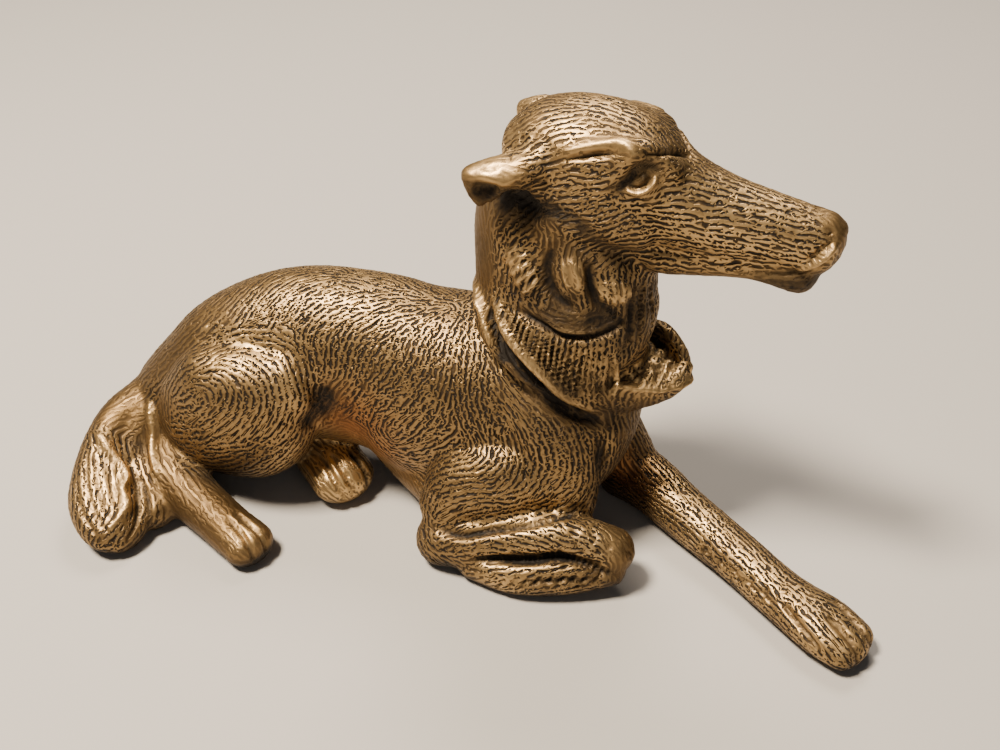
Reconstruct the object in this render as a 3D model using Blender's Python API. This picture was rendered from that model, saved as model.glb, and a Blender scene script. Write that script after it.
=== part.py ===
"""A cast bronze hound lying down with its head up, as one solid casting.

The figure keeps its pose and proportions as shares of its own length.  Every
table below is in units, and a unit is one 122nd of the length: close to a
millimetre on this casting.  +X is the way the hound faces, +Y is its left
side and +Z is up.  It rests on its paws, tail, elbows and haunch at Z = 0.
"""
import math

import bmesh
import bpy
import numpy as np
from mathutils import Vector
from mathutils.bvhtree import BVHTree

# Driving dimension, in metres
FIGURE_LENGTH = 0.122

UNIT = FIGURE_LENGTH / 122.0

# How the clay model is built up, in units
CLAY_GRAIN = 0.62
SOFTENING_PASSES = 5
SETTLE_DEPTH = 0.6
SIDES_OF_A_ROLL = 32
STEPS_BETWEEN_STATIONS = 5
TRIANGLES_KEPT = 9600

# Bronze, as seen in the photo
BRONZE_COLOUR = (0.40, 0.28, 0.14, 1.0)
BRONZE_ROUGHNESS = 0.42
BRONZE_METALLIC = 0.9

# Each roll of clay is a row of stations along its own middle line:
# x, y, z, half width, rise above the line, drop below the line
TRUNK = [
    (-57, -15.5, 8.2, 5, 4.8, 8),
    (-52, -13, 11.2, 8, 8.6, 11),
    (-46, -10.3, 14, 9.8, 12, 14),
    (-39, -7.3, 17.4, 11.2, 14.4, 16),
    (-30, -4.5, 20.2, 11.6, 15.5, 14),
    (-19, -2.8, 21, 11.6, 15.2, 15.5),
    (-12, -2.6, 20.5, 12.2, 15, 19),
    (-4, -2, 20, 13, 15.5, 19),
    (4, -1, 19, 13.2, 15.5, 17),
    (12, -0.5, 18, 12, 14, 15),
    (17, 0, 16.5, 9, 11, 12),
]
NECK = [
    (6, -1, 20, 11, 9, 10),
    (8.8, -0.8, 29, 9.8, 11.5, 12),
    (10.2, -0.5, 37, 9.2, 13, 12.7),
    (10, -0.3, 45, 8.8, 13.2, 12.8),
    (9.8, 0, 52, 8, 12.8, 12),
    (11, 0, 58, 6.5, 10, 10),
]
HEAD = [
    (4.6, 0, 60.2, 6.2, 5.4, 7),
    (8, 0, 61.6, 7.6, 6.6, 9),
    (13, 0, 62, 8, 6.9, 11),
    (18.5, 0, 61.4, 7.6, 6.4, 11),
    (24, 0, 58.9, 5.8, 5, 9.3),
    (30, 0, 57.1, 4.8, 4.6, 7),
    (37, 0, 56.2, 4, 4.1, 5.4),
    (42.8, 0, 55.5, 3.3, 3.9, 4.8),
]
JAW = [
    (17, 0, 51.5, 5.4, 3.5, 3.5),
    (23, 0, 50.2, 4.4, 3, 3.2),
    (29, 0, 50.6, 3.5, 3, 2.9),
    (35, 0, 50.8, 3.1, 3, 2.2),
    (41, 0, 50.4, 2.9, 3, 2.7),
]
BROW = [
    (17, -5.4, 64.4, 2, 2.2, 2.2),
    (20.5, -4.8, 64.8, 2.3, 2.4, 2.4),
    (24, -3.6, 63, 1.7, 1.7, 1.7),
]
FAR_BROW = [
    (17, 5, 64, 1.9, 2, 2),
    (20.3, 4.3, 64.4, 2.1, 2.2, 2.2),
    (23.2, 3.1, 62.8, 1.5, 1.5, 1.5),
]
CHEEK = [
    (9, -5, 57, 3.5, 5, 5),
    (15, -5.3, 56.5, 3.2, 5, 5),
    (21, -4, 55.5, 2.6, 4, 4),
]
NEAR_EAR = [
    (8, -6.4, 62.3, 2.4, 2.2, 2.4),
    (3.4, -8, 61.2, 2.6, 1.9, 3.7),
    (-0.2, -9.4, 60, 1.8, 1.9, 4.2),
]
FAR_EAR = [
    (8, 6.2, 63.6, 2, 1.6, 2),
    (3.6, 7.2, 63, 2.6, 2, 3.5),
    (0.6, 8, 61.8, 1.8, 2, 4),
]
SHOULDER = [
    (5, -6.5, 28, 5, 6, 6),
    (10, -8, 23, 6, 6.5, 6.5),
    (13.5, -9.5, 15, 5, 6, 5.5),
    (14.5, -10.5, 9.5, 4, 5, 4.6),
]
CHEST_KEEL = [
    (-16, -6, 9, 4, 3, 5),
    (-9, -8.8, 6.8, 4.3, 4, 5),
    (-2, -12, 7, 5, 5, 6),
]
FOLDED_UPPER_ARM = [
    (12, -10.8, 14.5, 4.6, 5.5, 6),
    (6.5, -12.5, 14, 6, 7.5, 8),
    (0.8, -14.2, 11.5, 6.2, 6.8, 7),
    (-1.6, -16.2, 8, 5, 5, 5.5),
]
FOLDED_FOREARM = [
    (-1.6, -19.4, 4.2, 4.1, 4.4, 4.2),
    (5, -19.2, 6.2, 3.9, 4, 4.5),
    (12, -17.3, 8.2, 3.4, 3.4, 4),
    (18.5, -15.6, 8.6, 3.3, 3.2, 4),
    (23.6, -14.4, 6.8, 3.5, 3.5, 4),
]
FOLDED_PAW = [
    (24, -15.6, 4.6, 2.7, 2.8, 2.8),
    (18, -18.5, 4.2, 3.2, 3.3, 3.8),
    (11, -20.7, 3.7, 3.4, 3.2, 3.7),
    (4, -20.6, 3.3, 3, 2.6, 3.3),
]
STRETCHED_UPPER_ARM = [
    (9, 6, 19, 5, 6.5, 6.5),
    (15, 6, 13.5, 5, 6, 6),
    (20, 4.8, 8, 4.4, 5, 5),
]
STRETCHED_FOREARM = [
    (19.5, 4.8, 6.2, 4.6, 5, 6.4),
    (25, 2.6, 5.6, 4.3, 4.6, 5.2),
    (31, -0.8, 4.8, 4, 4.1, 4.6),
    (40.6, -6.1, 4.1, 3.8, 3.6, 4.1),
    (48, -10.8, 3.9, 3.9, 3.2, 3.9),
    (54.4, -14, 3.8, 4.8, 3.1, 3.8),
    (58.6, -15.8, 3.2, 4.5, 2.5, 3.2),
]
NEAR_THIGH = [
    (-47.5, -16.5, 8, 5, 7, 6.5),
    (-43, -16.5, 12, 7, 10.5, 10.5),
    (-37, -16, 16, 7.8, 12.3, 12.3),
    (-31.5, -15, 20, 6.8, 9.8, 10),
    (-27.6, -14, 22.6, 4.6, 6, 6.5),
]
FAR_THIGH = [
    (-51, -9, 9, 6, 7, 9),
    (-44, -4.8, 12, 8.6, 11.5, 12),
    (-36, -2.8, 13, 8.8, 12.5, 13),
    (-29, -2.4, 11.5, 6.8, 9, 11),
]
NEAR_HIND_FOOT = [
    (-52, -20.5, 8, 4, 4.6, 6),
    (-44, -25, 5.3, 4.1, 3.9, 5.3),
    (-35, -28.5, 3.9, 3.8, 3.4, 3.9),
    (-28.4, -30.8, 3.4, 4, 3, 3.4),
]
FAR_HIND_FOOT = [
    (-37, -2, 9.5, 4, 5, 6),
    (-30.2, -7.9, 6.3, 4.8, 4.3, 5.3),
    (-21.8, -13.2, 4.2, 5.2, 4, 4.2),
]
TAIL = [
    (-54.5, -16.5, 12.4, 5, 4.6, 6),
    (-57.1, -21.6, 11, 3.8, 4.2, 6.8),
    (-56.6, -27.4, 8, 4.2, 4.4, 6.5),
    (-53.4, -32.2, 5.6, 5.6, 4.2, 5.4),
    (-49.6, -35, 4, 5.4, 3.6, 4),
    (-47.4, -35.4, 3, 4, 2.8, 3),
]
TAIL_ROOT = [
    (-49, -15.5, 13, 5, 5, 6),
    (-53.6, -19.8, 10.4, 4.6, 4.2, 6),
    (-54, -24.4, 7.6, 4.2, 3.8, 5.5),
]
TAIL_FEATHER = [
    (-53, -19, 8, 3, 4.4, 5),
    (-50.2, -25.5, 5.4, 4, 4, 5),
    (-46.4, -30.9, 3.2, 3.8, 3, 3.2),
]
RUFF = [
    (12.2, -0.3, 43.5, 8.6, 11.5, 11.5),
    (11.2, -0.4, 39, 10, 12.8, 12.2),
    (9.4, -0.5, 35.4, 11.3, 13, 12.8),
    (7.4, -0.6, 32.2, 12, 13, 13),
]
BIB = [
    (11, -0.3, 30, 10.2, 5, 7),
    (16, -0.1, 29.6, 9.2, 4, 7),
    (21, 0, 29.6, 7, 2.8, 6.4),
    (25.5, 0, 29.9, 4.2, 1.6, 4.4),
    (28.2, -0.1, 30.3, 1.8, 0.8, 2.2),
]
BIB_FAR_LIP = [
    (20.4, 7, 32.6, 1.2, 1.2, 3.4),
    (23.6, 5.2, 33.3, 1.1, 1.3, 3.6),
    (26.4, 3.3, 32.2, 1, 1.1, 2.8),
    (28.4, 1.3, 30.7, 0.9, 0.9, 1.4),
]

# Carving strokes: width, depth (raised if positive), then points on the skin.
# The strokes of the first group are made on both sides of the head and neck.
PAIRED_STROKES = [
    (1.3, -0.9, [(19, -7.2, 62.2), (21.3, -6.7, 63), (23, -6, 63.6)]),
    (0.8, 0.7, [(20.4, -7, 62.5), (21.5, -6.6, 63)]),
    (0.5, 0.45, [(19.2, -7.4, 61.2), (20.6, -7.1, 60.7), (22.1, -6.5, 61.4), (22.7, -6, 62.4)]),
    (0.8, 0.6, [(11, -7.5, 64.1), (13.7, -6.8, 65.5), (16.3, -6.2, 66.4), (20.3, -6.9, 65.8)]),
    (0.7, -0.6, [(12.5, -7.6, 63.2), (15.7, -7, 64.6), (18.5, -7, 65), (20.2, -7.1, 64.6)]),
    (0.6, -0.5, [(21.2, -6.2, 66), (23.3, -4.1, 65.6), (25.6, -1, 64)]),
    (0.6, -0.7, [(44.8, -2.3, 56.3), (42.3, -3.1, 53.4), (39.5, -2.9, 52), (34.4, -3.1, 51.2),
                 (27.6, -3.6, 50)]),
    (0.6, -0.5, [(44.6, -1.6, 57.6), (45.2, -0.9, 57.2)]),
    (1.1, -1.5, [(0, -11, 57.8), (2.5, -10, 57.6), (4, -8.6, 57.6)]),
    (1.6, -1.1, [(5.3, -6.4, 57.3), (8.8, -8.4, 57.2), (11.6, -8.5, 55.7), (14.1, -8, 53.9)]),
    (1.2, -0.9, [(14.1, -8, 53.5), (18.9, -5.6, 50.1), (23.1, -3.3, 47.6)]),
    (1.3, 0.9, [(4.4, -7.7, 49.7), (7.4, -8.8, 46.1), (11.1, -9.4, 42.4)]),
    (0.8, -0.9, [(9, -8.8, 50.5), (10.6, -9, 46.8), (13.6, -9, 43)]),
    (1.2, 0.9, [(11.5, -8.3, 52), (12.9, -8.5, 47.9), (14.5, -8.4, 46.1), (17.2, -7.6, 44.6)]),
    (0.8, -0.8, [(15, -8, 50), (16.4, -8, 47.4), (19, -6.6, 44)]),
    (1.1, 0.7, [(17.5, -7.4, 48.5), (18.9, -6.6, 46), (21.5, -4.4, 45.4)]),
    (0.8, -1, [(3, -8, 44.5), (6.5, -9, 41.9), (10.6, -9.9, 40.2), (15.1, -9.3, 39.6), (20.5, -6, 41)]),
    (0.7, -0.7, [(22, -4, 46), (21.7, -4.6, 42), (20.9, -6, 37.5)]),
    (0.6, -0.5, [(23.4, -1.6, 45.5), (23.2, -2, 38)]),
    (0.5, 0.5, [(18.6, -9.2, 29.6), (22.5, -6.4, 29.7), (26, -3.7, 30), (29.2, -0.6, 30.4)]),
    (1.3, -0.6, [(20.4, -6, 32.6), (24, -3, 31.8)]),
    (0.45, 0.45, [(19.5, -7, 35.4), (19.4, -8, 32.4), (18.8, -9, 29.6)]),
]
SINGLE_STROKES = [
    # tip of the nose
    (1.5, 0.3, [(44.8, 0, 58.4), (45.6, 0, 57)]),
    # crease over the folded forearm, the fold under it and the line of the paw
    (0.8, -0.9, [(-1, -21.5, 8.4), (2.5, -21.8, 8.8), (6.7, -20.5, 10.2), (12.1, -18.4, 11.5),
                 (18.4, -13.5, 11.6)]),
    (0.8, -1.3, [(5, -22.8, 5.8), (9, -22.4, 6.8), (13.2, -21.2, 7.4), (18.2, -19, 7.6), (24.8, -17.6, 5.4)]),
    (0.6, -0.5, [(12.4, -22.9, 4.4), (17.7, -20.7, 5), (22, -18.6, 5)]),
    # edge of the breast muscle
    (0.9, -0.8, [(18.8, -8.2, 22), (19.3, -8.6, 18.3), (19.5, -9, 14.7), (19.2, -11, 11.5)]),
    # tendon of the hock, the hollow beside it and the hollow of the flank
    (0.9, 0.8, [(-51.5, -19.5, 15.6), (-50.1, -22.3, 11.8), (-48.4, -25.3, 9.8), (-46.4, -27.4, 8)]),
    (1.3, -0.7, [(-53.6, -23.5, 11.4), (-52, -25, 10)]),
    (1.9, -1, [(-22.4, -14.6, 24), (-22.6, -15.4, 20), (-24.6, -17, 16)]),
    # toes of the stretched forepaw
    (0.6, -0.8, [(48.5, -14.3, 6.1), (50.9, -16.5, 5.6), (53.4, -18.3, 4.8), (54.8, -19.1, 4)]),
    (0.6, -0.8, [(54.5, -15.1, 6.7), (56.5, -16, 6.3), (58.5, -17.2, 5.3), (60, -18.4, 3)]),
    (0.6, -0.8, [(55, -11.3, 6.4), (57.9, -13.2, 5.9), (60, -14.7, 5.2), (61.4, -15, 3)]),
    # toes of the far hind paw
    (0.6, -0.7, [(-25.7, -13.3, 7.7), (-23.7, -14.5, 7.2), (-21.6, -15.6, 5.4), (-20, -16.4, 3)]),
    (0.6, -0.7, [(-23.7, -13, 7.7), (-21.3, -14.3, 6.4), (-19.4, -15, 3.6)]),
    (0.6, -0.7, [(-21.9, -11.3, 7.5), (-19.7, -12.2, 6), (-18.6, -12.6, 3)]),
    # toes of the near hind paw
    (0.6, -0.7, [(-32, -28.3, 6.7), (-28.7, -29.5, 6.3), (-26.2, -30.4, 5), (-25, -31, 3)]),
    (0.6, -0.7, [(-32.3, -30, 6.8), (-29.4, -31.3, 6.4), (-27.2, -32.5, 5.4), (-26, -33.4, 3)]),
    # ridge and long locks of the tail
    (0.9, 0.9, [(-58.3, -25, 13), (-56, -27.4, 12.4), (-52.8, -28, 10.4), (-50, -31.4, 8.6),
                (-48, -36.4, 6.4)]),
    (0.7, -0.7, [(-56, -28.6, 12.1), (-53.3, -30.4, 10.6), (-50.7, -33.5, 8.8), (-49.6, -36.8, 7.3)]),
    (0.7, -0.7, [(-57.2, -28.8, 12.1), (-54.5, -31.8, 10.6), (-52.3, -34.9, 8.8), (-51.7, -37.6, 7.3)]),
    (0.7, -0.7, [(-58.6, -29, 11.2), (-56.6, -32.6, 9.4), (-54.6, -36, 7), (-53.6, -38.4, 5)]),
    (0.7, -0.7, [(-50.2, -29.5, 8.6), (-47.9, -32.5, 7.2), (-46.6, -35.6, 5.9), (-47.2, -39, 4.3)]),
    (0.7, -0.6, [(-50.1, -27.9, 8.7), (-47, -31.5, 6.6), (-45.8, -34.4, 5), (-45.7, -37.5, 3)]),
]

# The ruff's rim is a tilted ring; short locks hang from it all the way round
RUFF_CENTRE = (7.4, -0.6, 32.2)
RUFF_HALF_WIDTH = 12.4
RUFF_HALF_DEPTH = 13.2
RUFF_TILT_DEG = 32.5
RUFF_LOCKS = 30
RUFF_LOCK_LENGTH = 5.6
RUFF_LOCK_WIDTH = 0.5
RUFF_LOCK_DEPTH = -0.45
RUFF_RIM_WIDTH = 0.8
RUFF_RIM_HEIGHT = 0.5
RUFF_UNDERCUT_DROP = 2.2
RUFF_UNDERCUT_WIDTH = 1.0
RUFF_UNDERCUT_DEPTH = -1.1


def smooth_rows(rows, steps):
    """Numbers along a smooth line through every row (a Catmull-Rom spline)."""
    p = np.array(rows, float)
    p = np.vstack([2 * p[0] - p[1], p, 2 * p[-1] - p[-2]])
    t = np.linspace(0, 1, steps, endpoint=False)[:, None]
    spans = []
    for a, b, c, d in zip(p[:-3], p[1:-2], p[2:-1], p[3:]):
        bend = (c - a) * t + (2 * a - 5 * b + 4 * c - d) * t ** 2 + (3 * b - a - 3 * c + d) * t ** 3
        spans.append(b + 0.5 * bend)
    return np.vstack(spans + [p[-2][None]])


def clay_roll(name, stations, up=(0, 0, 1), blunt=(0.8, 0.8)):
    """A closed roll of clay with oval sections at the stations and rounded ends."""
    rows = smooth_rows(stations, STEPS_BETWEEN_STATIONS)
    middle = rows[:, :3]
    size = np.maximum(rows[:, 3:], 0.05)
    along = np.gradient(middle, axis=0)
    along /= np.linalg.norm(along, axis=1)[:, None]
    turn = np.linspace(0, math.pi / 2, 6)[1:-1, None]
    first_tip = blunt[0] * size[0].min()
    last_tip = blunt[1] * size[-1].min()
    middle_all = np.vstack([
        middle[0] - along[0] * first_tip * np.sin(turn[::-1]),
        middle,
        middle[-1] + along[-1] * last_tip * np.sin(turn),
    ])
    size_all = np.vstack([size[0] * np.cos(turn[::-1]), size, size[-1] * np.cos(turn)])
    along_all = np.vstack([
        np.repeat(along[:1], len(turn), 0),
        along,
        np.repeat(along[-1:], len(turn), 0),
    ])
    side = np.cross(np.array(up, float), along_all)
    side /= np.linalg.norm(side, axis=1)[:, None]
    top = np.cross(along_all, side)

    mesh = bmesh.new()
    angles = [2 * math.pi * k / SIDES_OF_A_ROLL for k in range(SIDES_OF_A_ROLL)]
    rings = []
    for m, s, sd, tp in zip(middle_all, size_all, side, top):
        ring = []
        for a in angles:
            height = s[1] if math.sin(a) > 0 else s[2]
            place = m + sd * s[0] * math.cos(a) + tp * height * math.sin(a)
            ring.append(mesh.verts.new(place * UNIT))
        rings.append(ring)
    for low, high in zip(rings[:-1], rings[1:]):
        for k in range(SIDES_OF_A_ROLL):
            n = (k + 1) % SIDES_OF_A_ROLL
            mesh.faces.new((low[k], low[n], high[n], high[k]))
    near_pole = middle[0] - along[0] * first_tip
    far_pole = middle[-1] + along[-1] * last_tip
    for ring, tip in ((rings[0], near_pole), (rings[-1], far_pole)):
        pole = mesh.verts.new(tip * UNIT)
        for k in range(SIDES_OF_A_ROLL):
            mesh.faces.new((pole, ring[k], ring[(k + 1) % SIDES_OF_A_ROLL]))
    bmesh.ops.recalc_face_normals(mesh, faces=mesh.faces)
    data = bpy.data.meshes.new(name)
    mesh.to_mesh(data)
    mesh.free()
    roll = bpy.data.objects.new(name, data)
    bpy.context.scene.collection.objects.link(roll)
    return roll


def other_side(stations):
    """The same stations on the other side of the middle plane."""
    return [(row[0], -row[1]) + tuple(row[2:]) for row in stations]


def build_clay():
    """All rolls of clay that make up the body."""
    backwards = (-1, 0, 0)
    return [
        clay_roll("trunk", TRUNK, blunt=(0.8, 0.5)),
        clay_roll("neck", NECK, up=backwards),
        clay_roll("head", HEAD, blunt=(0.6, 0.85)),
        clay_roll("jaw", JAW, blunt=(0.6, 0.85)),
        clay_roll("near_brow", BROW),
        clay_roll("far_brow", FAR_BROW),
        clay_roll("near_cheek", CHEEK),
        clay_roll("far_cheek", other_side(CHEEK)),
        clay_roll("near_ear", NEAR_EAR, blunt=(0.6, 0.7)),
        clay_roll("far_ear", FAR_EAR, blunt=(0.6, 0.7)),
        clay_roll("near_shoulder", SHOULDER, up=(1, 0, 0)),
        clay_roll("far_shoulder", other_side(SHOULDER), up=(1, 0, 0)),
        clay_roll("chest_keel", CHEST_KEEL),
        clay_roll("folded_upper_arm", FOLDED_UPPER_ARM),
        clay_roll("folded_forearm", FOLDED_FOREARM, blunt=(0.95, 0.95)),
        clay_roll("folded_paw", FOLDED_PAW),
        clay_roll("stretched_upper_arm", STRETCHED_UPPER_ARM, up=(0, 1, 0)),
        clay_roll("stretched_forearm", STRETCHED_FOREARM, blunt=(0.8, 0.9)),
        clay_roll("near_thigh", NEAR_THIGH),
        clay_roll("far_thigh", FAR_THIGH),
        clay_roll("near_hind_foot", NEAR_HIND_FOOT, blunt=(0.8, 0.95)),
        clay_roll("far_hind_foot", FAR_HIND_FOOT, blunt=(0.8, 0.95)),
        clay_roll("tail", TAIL),
        clay_roll("tail_root", TAIL_ROOT),
        clay_roll("tail_feather", TAIL_FEATHER),
        clay_roll("ruff", RUFF, up=backwards, blunt=(0.3, 0.12)),
        clay_roll("bib", BIB, blunt=(0.3, 0.4)),
        clay_roll("bib_far_lip", BIB_FAR_LIP),
    ]


def press_together(rolls, name):
    """Join the rolls, fuse them into one skin and soften the seams."""
    bpy.ops.object.select_all(action="DESELECT")
    for roll in rolls:
        roll.select_set(True)
    bpy.context.view_layer.objects.active = rolls[0]
    bpy.ops.object.join()
    body = rolls[0]
    body.name = name
    body.data.name = name
    fuse = body.modifiers.new("fuse", "REMESH")
    fuse.mode = "VOXEL"
    fuse.voxel_size = CLAY_GRAIN * UNIT
    soften = body.modifiers.new("soften", "SMOOTH")
    soften.factor = 0.5
    soften.iterations = SOFTENING_PASSES
    bpy.ops.object.convert(target="MESH")
    return body


def ruff_point(angle, above_rim):
    """A point near the ruff's skin: its place round the ring, and how far above the rim."""
    tilt = math.radians(RUFF_TILT_DEG)
    shrink = 1 - 0.035 * max(above_rim, 0)
    forward = RUFF_HALF_DEPTH * shrink * math.cos(angle)
    x = RUFF_CENTRE[0] + forward * math.cos(tilt) + above_rim * math.sin(tilt)
    y = RUFF_CENTRE[1] + RUFF_HALF_WIDTH * shrink * math.sin(angle)
    z = RUFF_CENTRE[2] - forward * math.sin(tilt) + above_rim * math.cos(tilt)
    return (x, y, z)


def ruff_strokes():
    """The rim, the undercut below it and the row of short locks above it."""
    strokes = []
    for side in (-1, 1):
        round_back = [math.radians(side * a) for a in range(50, 181, 10)]
        strokes.append((RUFF_RIM_WIDTH, RUFF_RIM_HEIGHT, [ruff_point(a, 0.5) for a in round_back]))
        below = [ruff_point(a, -RUFF_UNDERCUT_DROP) for a in round_back]
        strokes.append((RUFF_UNDERCUT_WIDTH, RUFF_UNDERCUT_DEPTH, below))
    for k in range(RUFF_LOCKS):
        angle = math.radians(52 + (308 - 52) * k / (RUFF_LOCKS - 1))
        lean = 0.05
        lock = [ruff_point(angle + lean * t, 1.4 + RUFF_LOCK_LENGTH * t) for t in (0, 0.5, 1)]
        strokes.append((RUFF_LOCK_WIDTH, RUFF_LOCK_DEPTH, lock))
    return strokes


def all_strokes():
    """Every carving stroke of the figure."""
    paired = []
    for width, depth, points in PAIRED_STROKES:
        paired.append((width, depth, points))
        paired.append((width, depth, [(x, -y, z) for x, y, z in points]))
    return paired + SINGLE_STROKES + ruff_strokes()


def carve(body, strokes):
    """Push the skin in or out along each stroke, with a rounded section that fades at the ends."""
    data = body.data
    count = len(data.vertices)
    places = np.empty(count * 3)
    data.vertices.foreach_get("co", places)
    places = places.reshape(-1, 3)
    normals = np.empty(count * 3)
    data.vertices.foreach_get("normal", normals)
    normals = normals.reshape(-1, 3)
    skin = BVHTree.FromPolygons([v.co for v in data.vertices], [tuple(f.vertices) for f in data.polygons])
    shift = np.zeros(count)
    for width, depth, points in strokes:
        line = smooth_rows(points, 8)
        on_skin = np.array([skin.find_nearest(Vector(p * UNIT))[0] for p in line])
        reach = 2.6 * width * UNIT
        low = on_skin.min(0) - reach
        high = on_skin.max(0) + reach
        near = np.where(((places > low) & (places < high)).all(1))[0]
        if not len(near):
            continue
        gaps = np.linalg.norm(places[near, None] - on_skin[None], axis=2)
        nearest = gaps.argmin(1)
        distance = gaps[np.arange(len(near)), nearest]
        fade = np.sin(np.linspace(0, math.pi, len(line))) ** 0.5
        fade = 0.25 + 0.75 * fade[nearest]
        shift[near] += depth * fade * np.exp(-(distance / (width * UNIT)) ** 2)
    places += normals * shift[:, None] * UNIT
    data.vertices.foreach_set("co", places.ravel())
    data.update()


def settle_on_floor(body):
    """Cut the underside flat a little way up, so that it rests on real flats, and seat it at Z = 0."""
    mesh = bmesh.new()
    mesh.from_mesh(body.data)
    floor = SETTLE_DEPTH * UNIT
    everything = mesh.verts[:] + mesh.edges[:] + mesh.faces[:]
    bmesh.ops.bisect_plane(
        mesh, geom=everything, plane_co=(0, 0, floor), plane_no=(0, 0, -1), clear_outer=True)
    rim = [e for e in mesh.edges if e.is_boundary]
    bmesh.ops.holes_fill(mesh, edges=rim, sides=0)
    bmesh.ops.triangulate(mesh, faces=mesh.faces[:])
    bmesh.ops.translate(mesh, verts=mesh.verts[:], vec=(0, 0, -floor))
    bmesh.ops.recalc_face_normals(mesh, faces=mesh.faces)
    mesh.to_mesh(body.data)
    mesh.free()


def keep_few_triangles(body):
    """Thin the mesh while keeping its shape."""
    count = sum(len(f.vertices) - 2 for f in body.data.polygons)
    thin = body.modifiers.new("thin", "DECIMATE")
    thin.ratio = min(1.0, TRIANGLES_KEPT / count)
    bpy.context.view_layer.objects.active = body
    bpy.ops.object.convert(target="MESH")


def centre_on_origin(body):
    """Put the middle of the figure's outline above the origin."""
    corners = np.array([v.co for v in body.data.vertices])
    middle = (corners.min(0) + corners.max(0)) / 2
    for v in body.data.vertices:
        v.co.x -= middle[0]
        v.co.y -= middle[1]
        v.co.z -= corners[:, 2].min()


def bronze():
    """Worn golden-brown bronze."""
    material = bpy.data.materials.new("bronze")
    material.use_nodes = True
    shader = material.node_tree.nodes["Principled BSDF"]
    shader.inputs["Base Color"].default_value = BRONZE_COLOUR
    shader.inputs["Roughness"].default_value = BRONZE_ROUGHNESS
    shader.inputs["Metallic"].default_value = BRONZE_METALLIC
    return material


def main():
    for old in list(bpy.data.objects):
        bpy.data.objects.remove(old)
    hound = press_together(build_clay(), "hound_figure")
    carve(hound, all_strokes())
    keep_few_triangles(hound)
    settle_on_floor(hound)
    centre_on_origin(hound)
    hound.data.materials.clear()
    hound.data.materials.append(bronze())


main()
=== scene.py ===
# %% [markdown]
# # A cast bronze hound
# The real object is a small bronze casting: a long-coated hound lying down with its head up.  It was modelled
# in wax or clay, cast in one piece, and then a chaser cut thousands of fine hair lines into the metal.  Years
# of handling have left the tops of the lines bright and the cuts between them dark.
#
# The lesson follows the maker's own order.  Rolls of clay are pressed together into one skin, the skin is
# carved with broad strokes, hair is combed over it, and a patina is worked out from the depth of the cuts.

# %% Load the frame that everything must fit
import math

import bmesh
import bpy
import numpy as np
from mathutils import Matrix, Vector
from mathutils.bvhtree import BVHTree
from mathutils.kdtree import KDTree


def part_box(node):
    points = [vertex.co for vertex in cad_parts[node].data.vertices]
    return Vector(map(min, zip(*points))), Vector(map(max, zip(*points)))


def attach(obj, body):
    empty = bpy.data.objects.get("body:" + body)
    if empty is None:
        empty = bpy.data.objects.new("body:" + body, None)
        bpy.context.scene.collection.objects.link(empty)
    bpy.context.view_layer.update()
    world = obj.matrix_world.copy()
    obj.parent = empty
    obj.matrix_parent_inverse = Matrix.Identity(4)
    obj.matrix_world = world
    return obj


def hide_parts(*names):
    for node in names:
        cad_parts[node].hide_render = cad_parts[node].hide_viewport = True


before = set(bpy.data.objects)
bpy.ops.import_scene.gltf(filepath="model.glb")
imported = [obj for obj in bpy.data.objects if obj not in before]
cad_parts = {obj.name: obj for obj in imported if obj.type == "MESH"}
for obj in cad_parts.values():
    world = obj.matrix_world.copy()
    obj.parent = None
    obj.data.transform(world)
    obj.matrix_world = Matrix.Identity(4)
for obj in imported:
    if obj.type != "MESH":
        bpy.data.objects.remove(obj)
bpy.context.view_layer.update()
NODE = "hound_figure"
node_low, node_high = [np.array(corner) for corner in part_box(NODE)]
print("solid is", (node_high - node_low).round(4), "metres, standing at", node_low.round(4))

# %% [markdown]
# ## The clay rolls
# A sculptor starts such a figure from rolls of clay: one for the trunk, one for the neck, one for each limb.
# Each roll could be a metaball chain or a skinned skeleton, but a table of stations says much more about a
# body: where its middle line runs, how wide it is there, how high it rises above the line and how deep it
# hangs below.  A unit is close to a millimetre; +X is the way the hound faces and +Z is up.

# %% The tables of stations: x, y, z, half width, rise above the line, drop below it
TRUNK = [
    (-57, -15.5, 8.2, 5, 4.8, 8),
    (-52, -13, 11.2, 8, 8.6, 11),
    (-46, -10.3, 14, 9.8, 12, 14),
    (-39, -7.3, 17.4, 11.2, 14.4, 16),
    (-30, -4.5, 20.2, 11.6, 15.5, 14),
    (-19, -2.8, 21, 11.6, 15.2, 15.5),
    (-12, -2.6, 20.5, 12.2, 15, 19),
    (-4, -2, 20, 13, 15.5, 19),
    (4, -1, 19, 13.2, 15.5, 17),
    (12, -0.5, 18, 12, 14, 15),
    (17, 0, 16.5, 9, 11, 12),
]
NECK = [
    (6, -1, 20, 11, 9, 10),
    (8.8, -0.8, 29, 9.8, 11.5, 12),
    (10.2, -0.5, 37, 9.2, 13, 12.7),
    (10, -0.3, 45, 8.8, 13.2, 12.8),
    (9.8, 0, 52, 8, 12.8, 12),
    (11, 0, 58, 6.5, 10, 10),
]
HEAD = [
    (4.6, 0, 60.2, 6.2, 5.4, 7),
    (8, 0, 61.6, 7.6, 6.6, 9),
    (13, 0, 62, 8, 6.9, 11),
    (18.5, 0, 61.4, 7.6, 6.4, 11),
    (24, 0, 58.9, 5.8, 5, 9.3),
    (30, 0, 57.1, 4.8, 4.6, 7),
    (37, 0, 56.2, 4, 4.1, 5.4),
    (42.8, 0, 55.5, 3.3, 3.9, 4.8),
]
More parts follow.
